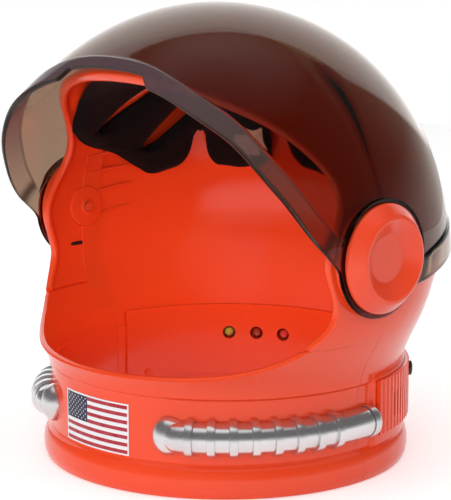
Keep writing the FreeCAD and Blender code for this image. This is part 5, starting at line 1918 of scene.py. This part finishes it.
@dataclass
class Studio:
    """Camera, plain floor and soft lamps."""

    azimuth: float = 45.7
    elevation: float = 10.57
    distance: float = 1.1176
    target: Tuple[float, float, float] = (0.0, 0.0, 0.1213)
    lens: float = 133.5
    floor_half: float = 1.4
    floor_lift: float = 0.42
    ambient: float = 0.28
    mirror_front: float = 0.12
    mirror_top: float = 1.0
    mirror_low: float = 0.5
    mirror_back: float = 1.3

    def build(self) -> None:
        """Set the view transform, then make the camera, floor, world and lamps."""
        bpy.context.scene.view_settings.view_transform = "Standard"
        self.camera()
        self.floor()
        self.world()
        self.lamp("front", (1.3, -2.0, 0.75), 2.0, 30.0)
        self.lamp("left", (-0.9, -2.3, 1.1), 2.0, 20.0)
        self.lamp("top", (0.0, 0.2, 2.6), 2.6, 20.0)
        self.lamp("back", (1.9, 1.4, 1.2), 1.6, 10.0)
        self.lamp("inside", (0.0, -0.02, 0.16), 0.08, 0.07, (0.0, 0.05, 0.02))

    def back(self) -> np.ndarray:
        """Return the direction from the target to the camera."""
        a, e = math.radians(self.azimuth), math.radians(self.elevation)
        return np.array([math.sin(a) * math.cos(e), -math.cos(a) * math.cos(e), math.sin(e)])

    def camera(self) -> None:
        """Make the camera at the photograph's viewing angle."""
        data = bpy.data.cameras.new("camera")
        data.lens = self.lens
        data.sensor_width = 36.0
        item = bpy.data.objects.new("camera", data)
        bpy.context.scene.collection.objects.link(item)
        item.location = np.array(self.target) + self.back() * self.distance
        item.rotation_mode = "QUATERNION"
        item.rotation_quaternion = self.facing(-self.back())
        bpy.context.scene.camera = item

    def facing(self, direction: np.ndarray) -> Quaternion:
        """Return the turn that points an object's -Z along direction, with +Y up."""
        return Vector(direction).to_track_quat("-Z", "Y")

    def floor(self) -> None:
        """Make the pale floor, a plain square of light grey that keeps the shadow."""
        mesh = bpy.data.meshes.new("floor")
        half = self.floor_half
        mesh.from_pydata([(-half, -half, -0.0005), (half, -half, -0.0005), (half, half, -0.0005),
                          (-half, half, -0.0005)], [], [(0, 1, 2, 3)])
        nodes = Nodes("floor_white")
        soft = nodes.ranged(nodes.noise(3.0), 0.55, 0.65)
        pale = nodes.mixed(nodes.ranged(nodes.noise(2.0), 0.0, 1.0), (0.93, 0.93, 0.93),
                           (0.95, 0.95, 0.95))
        paint = nodes.add("BsdfPrincipled", {"Base Color": pale, "Roughness": soft,
                                             "Specular IOR Level": 0.1})
        lift = nodes.add("Emission", {"Color": (1.0, 1.0, 1.0, 1.0), "Strength": self.floor_lift})
        seen = nodes.add("AddShader", {"0": paint.outputs[0], "1": lift.outputs[0]})
        rays = nodes.add("LightPath")
        direct = nodes.maths("MAXIMUM", rays.outputs["Is Glossy Ray"], nodes.maths(
            "MAXIMUM", rays.outputs["Is Camera Ray"], rays.outputs["Is Transmission Ray"]))
        mesh.materials.append(nodes.finish(nodes.add("MixShader", {
            "0": direct, "1": paint.outputs[0], "2": seen.outputs[0]})))
        item = bpy.data.objects.new("floor", mesh)
        bpy.context.scene.collection.objects.link(item)

    def world(self) -> None:
        """Light the scene with a pale sky that the camera sees as white.

        A mirror sees a white backdrop behind the helmet, whose edge lies where the direction's
        share along the view passes a threshold that grows below an elevation, a bright zenith
        and a bright horizon, and little in front of the helmet.
        """
        nodes = Nodes("studio", world=True)
        place = nodes.add("TexCoord").outputs["Generated"]
        height = nodes.add("SeparateXYZ", {"Vector": place}).outputs["Z"]
        along = nodes.add("VectorMath", {"0": place, "1": tuple(-self.back())},
                          operation="DOT_PRODUCT").outputs["Value"]
        behind = nodes.maths("SUBTRACT", along, nodes.ranged(height, 0.6, 0.0, -0.1, 0.6))
        strength = nodes.maths("ADD", nodes.ranged(behind, self.mirror_front, self.mirror_back,
                                                   0.385, 0.415),
                               nodes.maths("ADD", nodes.ranged(height, 0.0, self.mirror_top,
                                                               0.80, 0.95),
                                           nodes.ranged(height, self.mirror_low, 0.0,
                                                        0.02, 0.25)))
        light, mirrored, seen = (
            nodes.add("Background", {"Color": (1.0, 1.0, 1.0, 1.0), "Strength": value})
            for value in (self.ambient, strength, 1.0))
        rays = nodes.add("LightPath")
        direct = nodes.maths("MAXIMUM", rays.outputs["Is Camera Ray"],
                             rays.outputs["Is Transmission Ray"])
        glossy = nodes.add("MixShader", {"0": rays.outputs["Is Glossy Ray"],
                                         "1": light.outputs[0], "2": mirrored.outputs[0]})
        bpy.context.scene.world = nodes.finish(nodes.add("MixShader", {
            "0": direct, "1": glossy.outputs[0], "2": seen.outputs[0]}))

    def lamp(self, name: str, place: Tuple[float, float, float], size: float, power: float,
             aim: Optional[Tuple[float, float, float]] = None) -> None:
        """Make a square soft lamp that only lights, and that nothing shows or mirrors.

        Args:
            name: the lamp's name.
            place: where it hangs, in metres.
            size: its side in metres.
            power: its power in watts.
            aim: the point that it faces, or None for the camera's target.
        """
        data = bpy.data.lights.new(name, "AREA")
        data.shape = "SQUARE"
        data.size = size
        data.energy = power
        item = bpy.data.objects.new(name, data)
        bpy.context.scene.collection.objects.link(item)
        item.location = place
        item.rotation_mode = "QUATERNION"
        item.rotation_quaternion = self.facing(np.array(aim or self.target) - np.array(place))
        item.visible_camera = False
        item.visible_glossy = False
        item.visible_transmission = False


def write_sizes() -> None:
    """Update the view layer."""
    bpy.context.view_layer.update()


def main() -> None:
    """Build the helmet's looks in order, then the studio round it."""
    logging.basicConfig(level=logging.INFO, format="%(name)s %(message)s")
    shop = Workshop(Finishes().build())
    for part in (Shells(shop), Visor(shop), Ears(shop), Hoses(shop), FlagLabel(shop),
                 CrownPad(shop), Compartment(shop)):
        part.build()
    Studio().build()
    LOG.info("%d pieces made", shop.count)
    write_sizes()


if __name__ == "__main__":
    main()
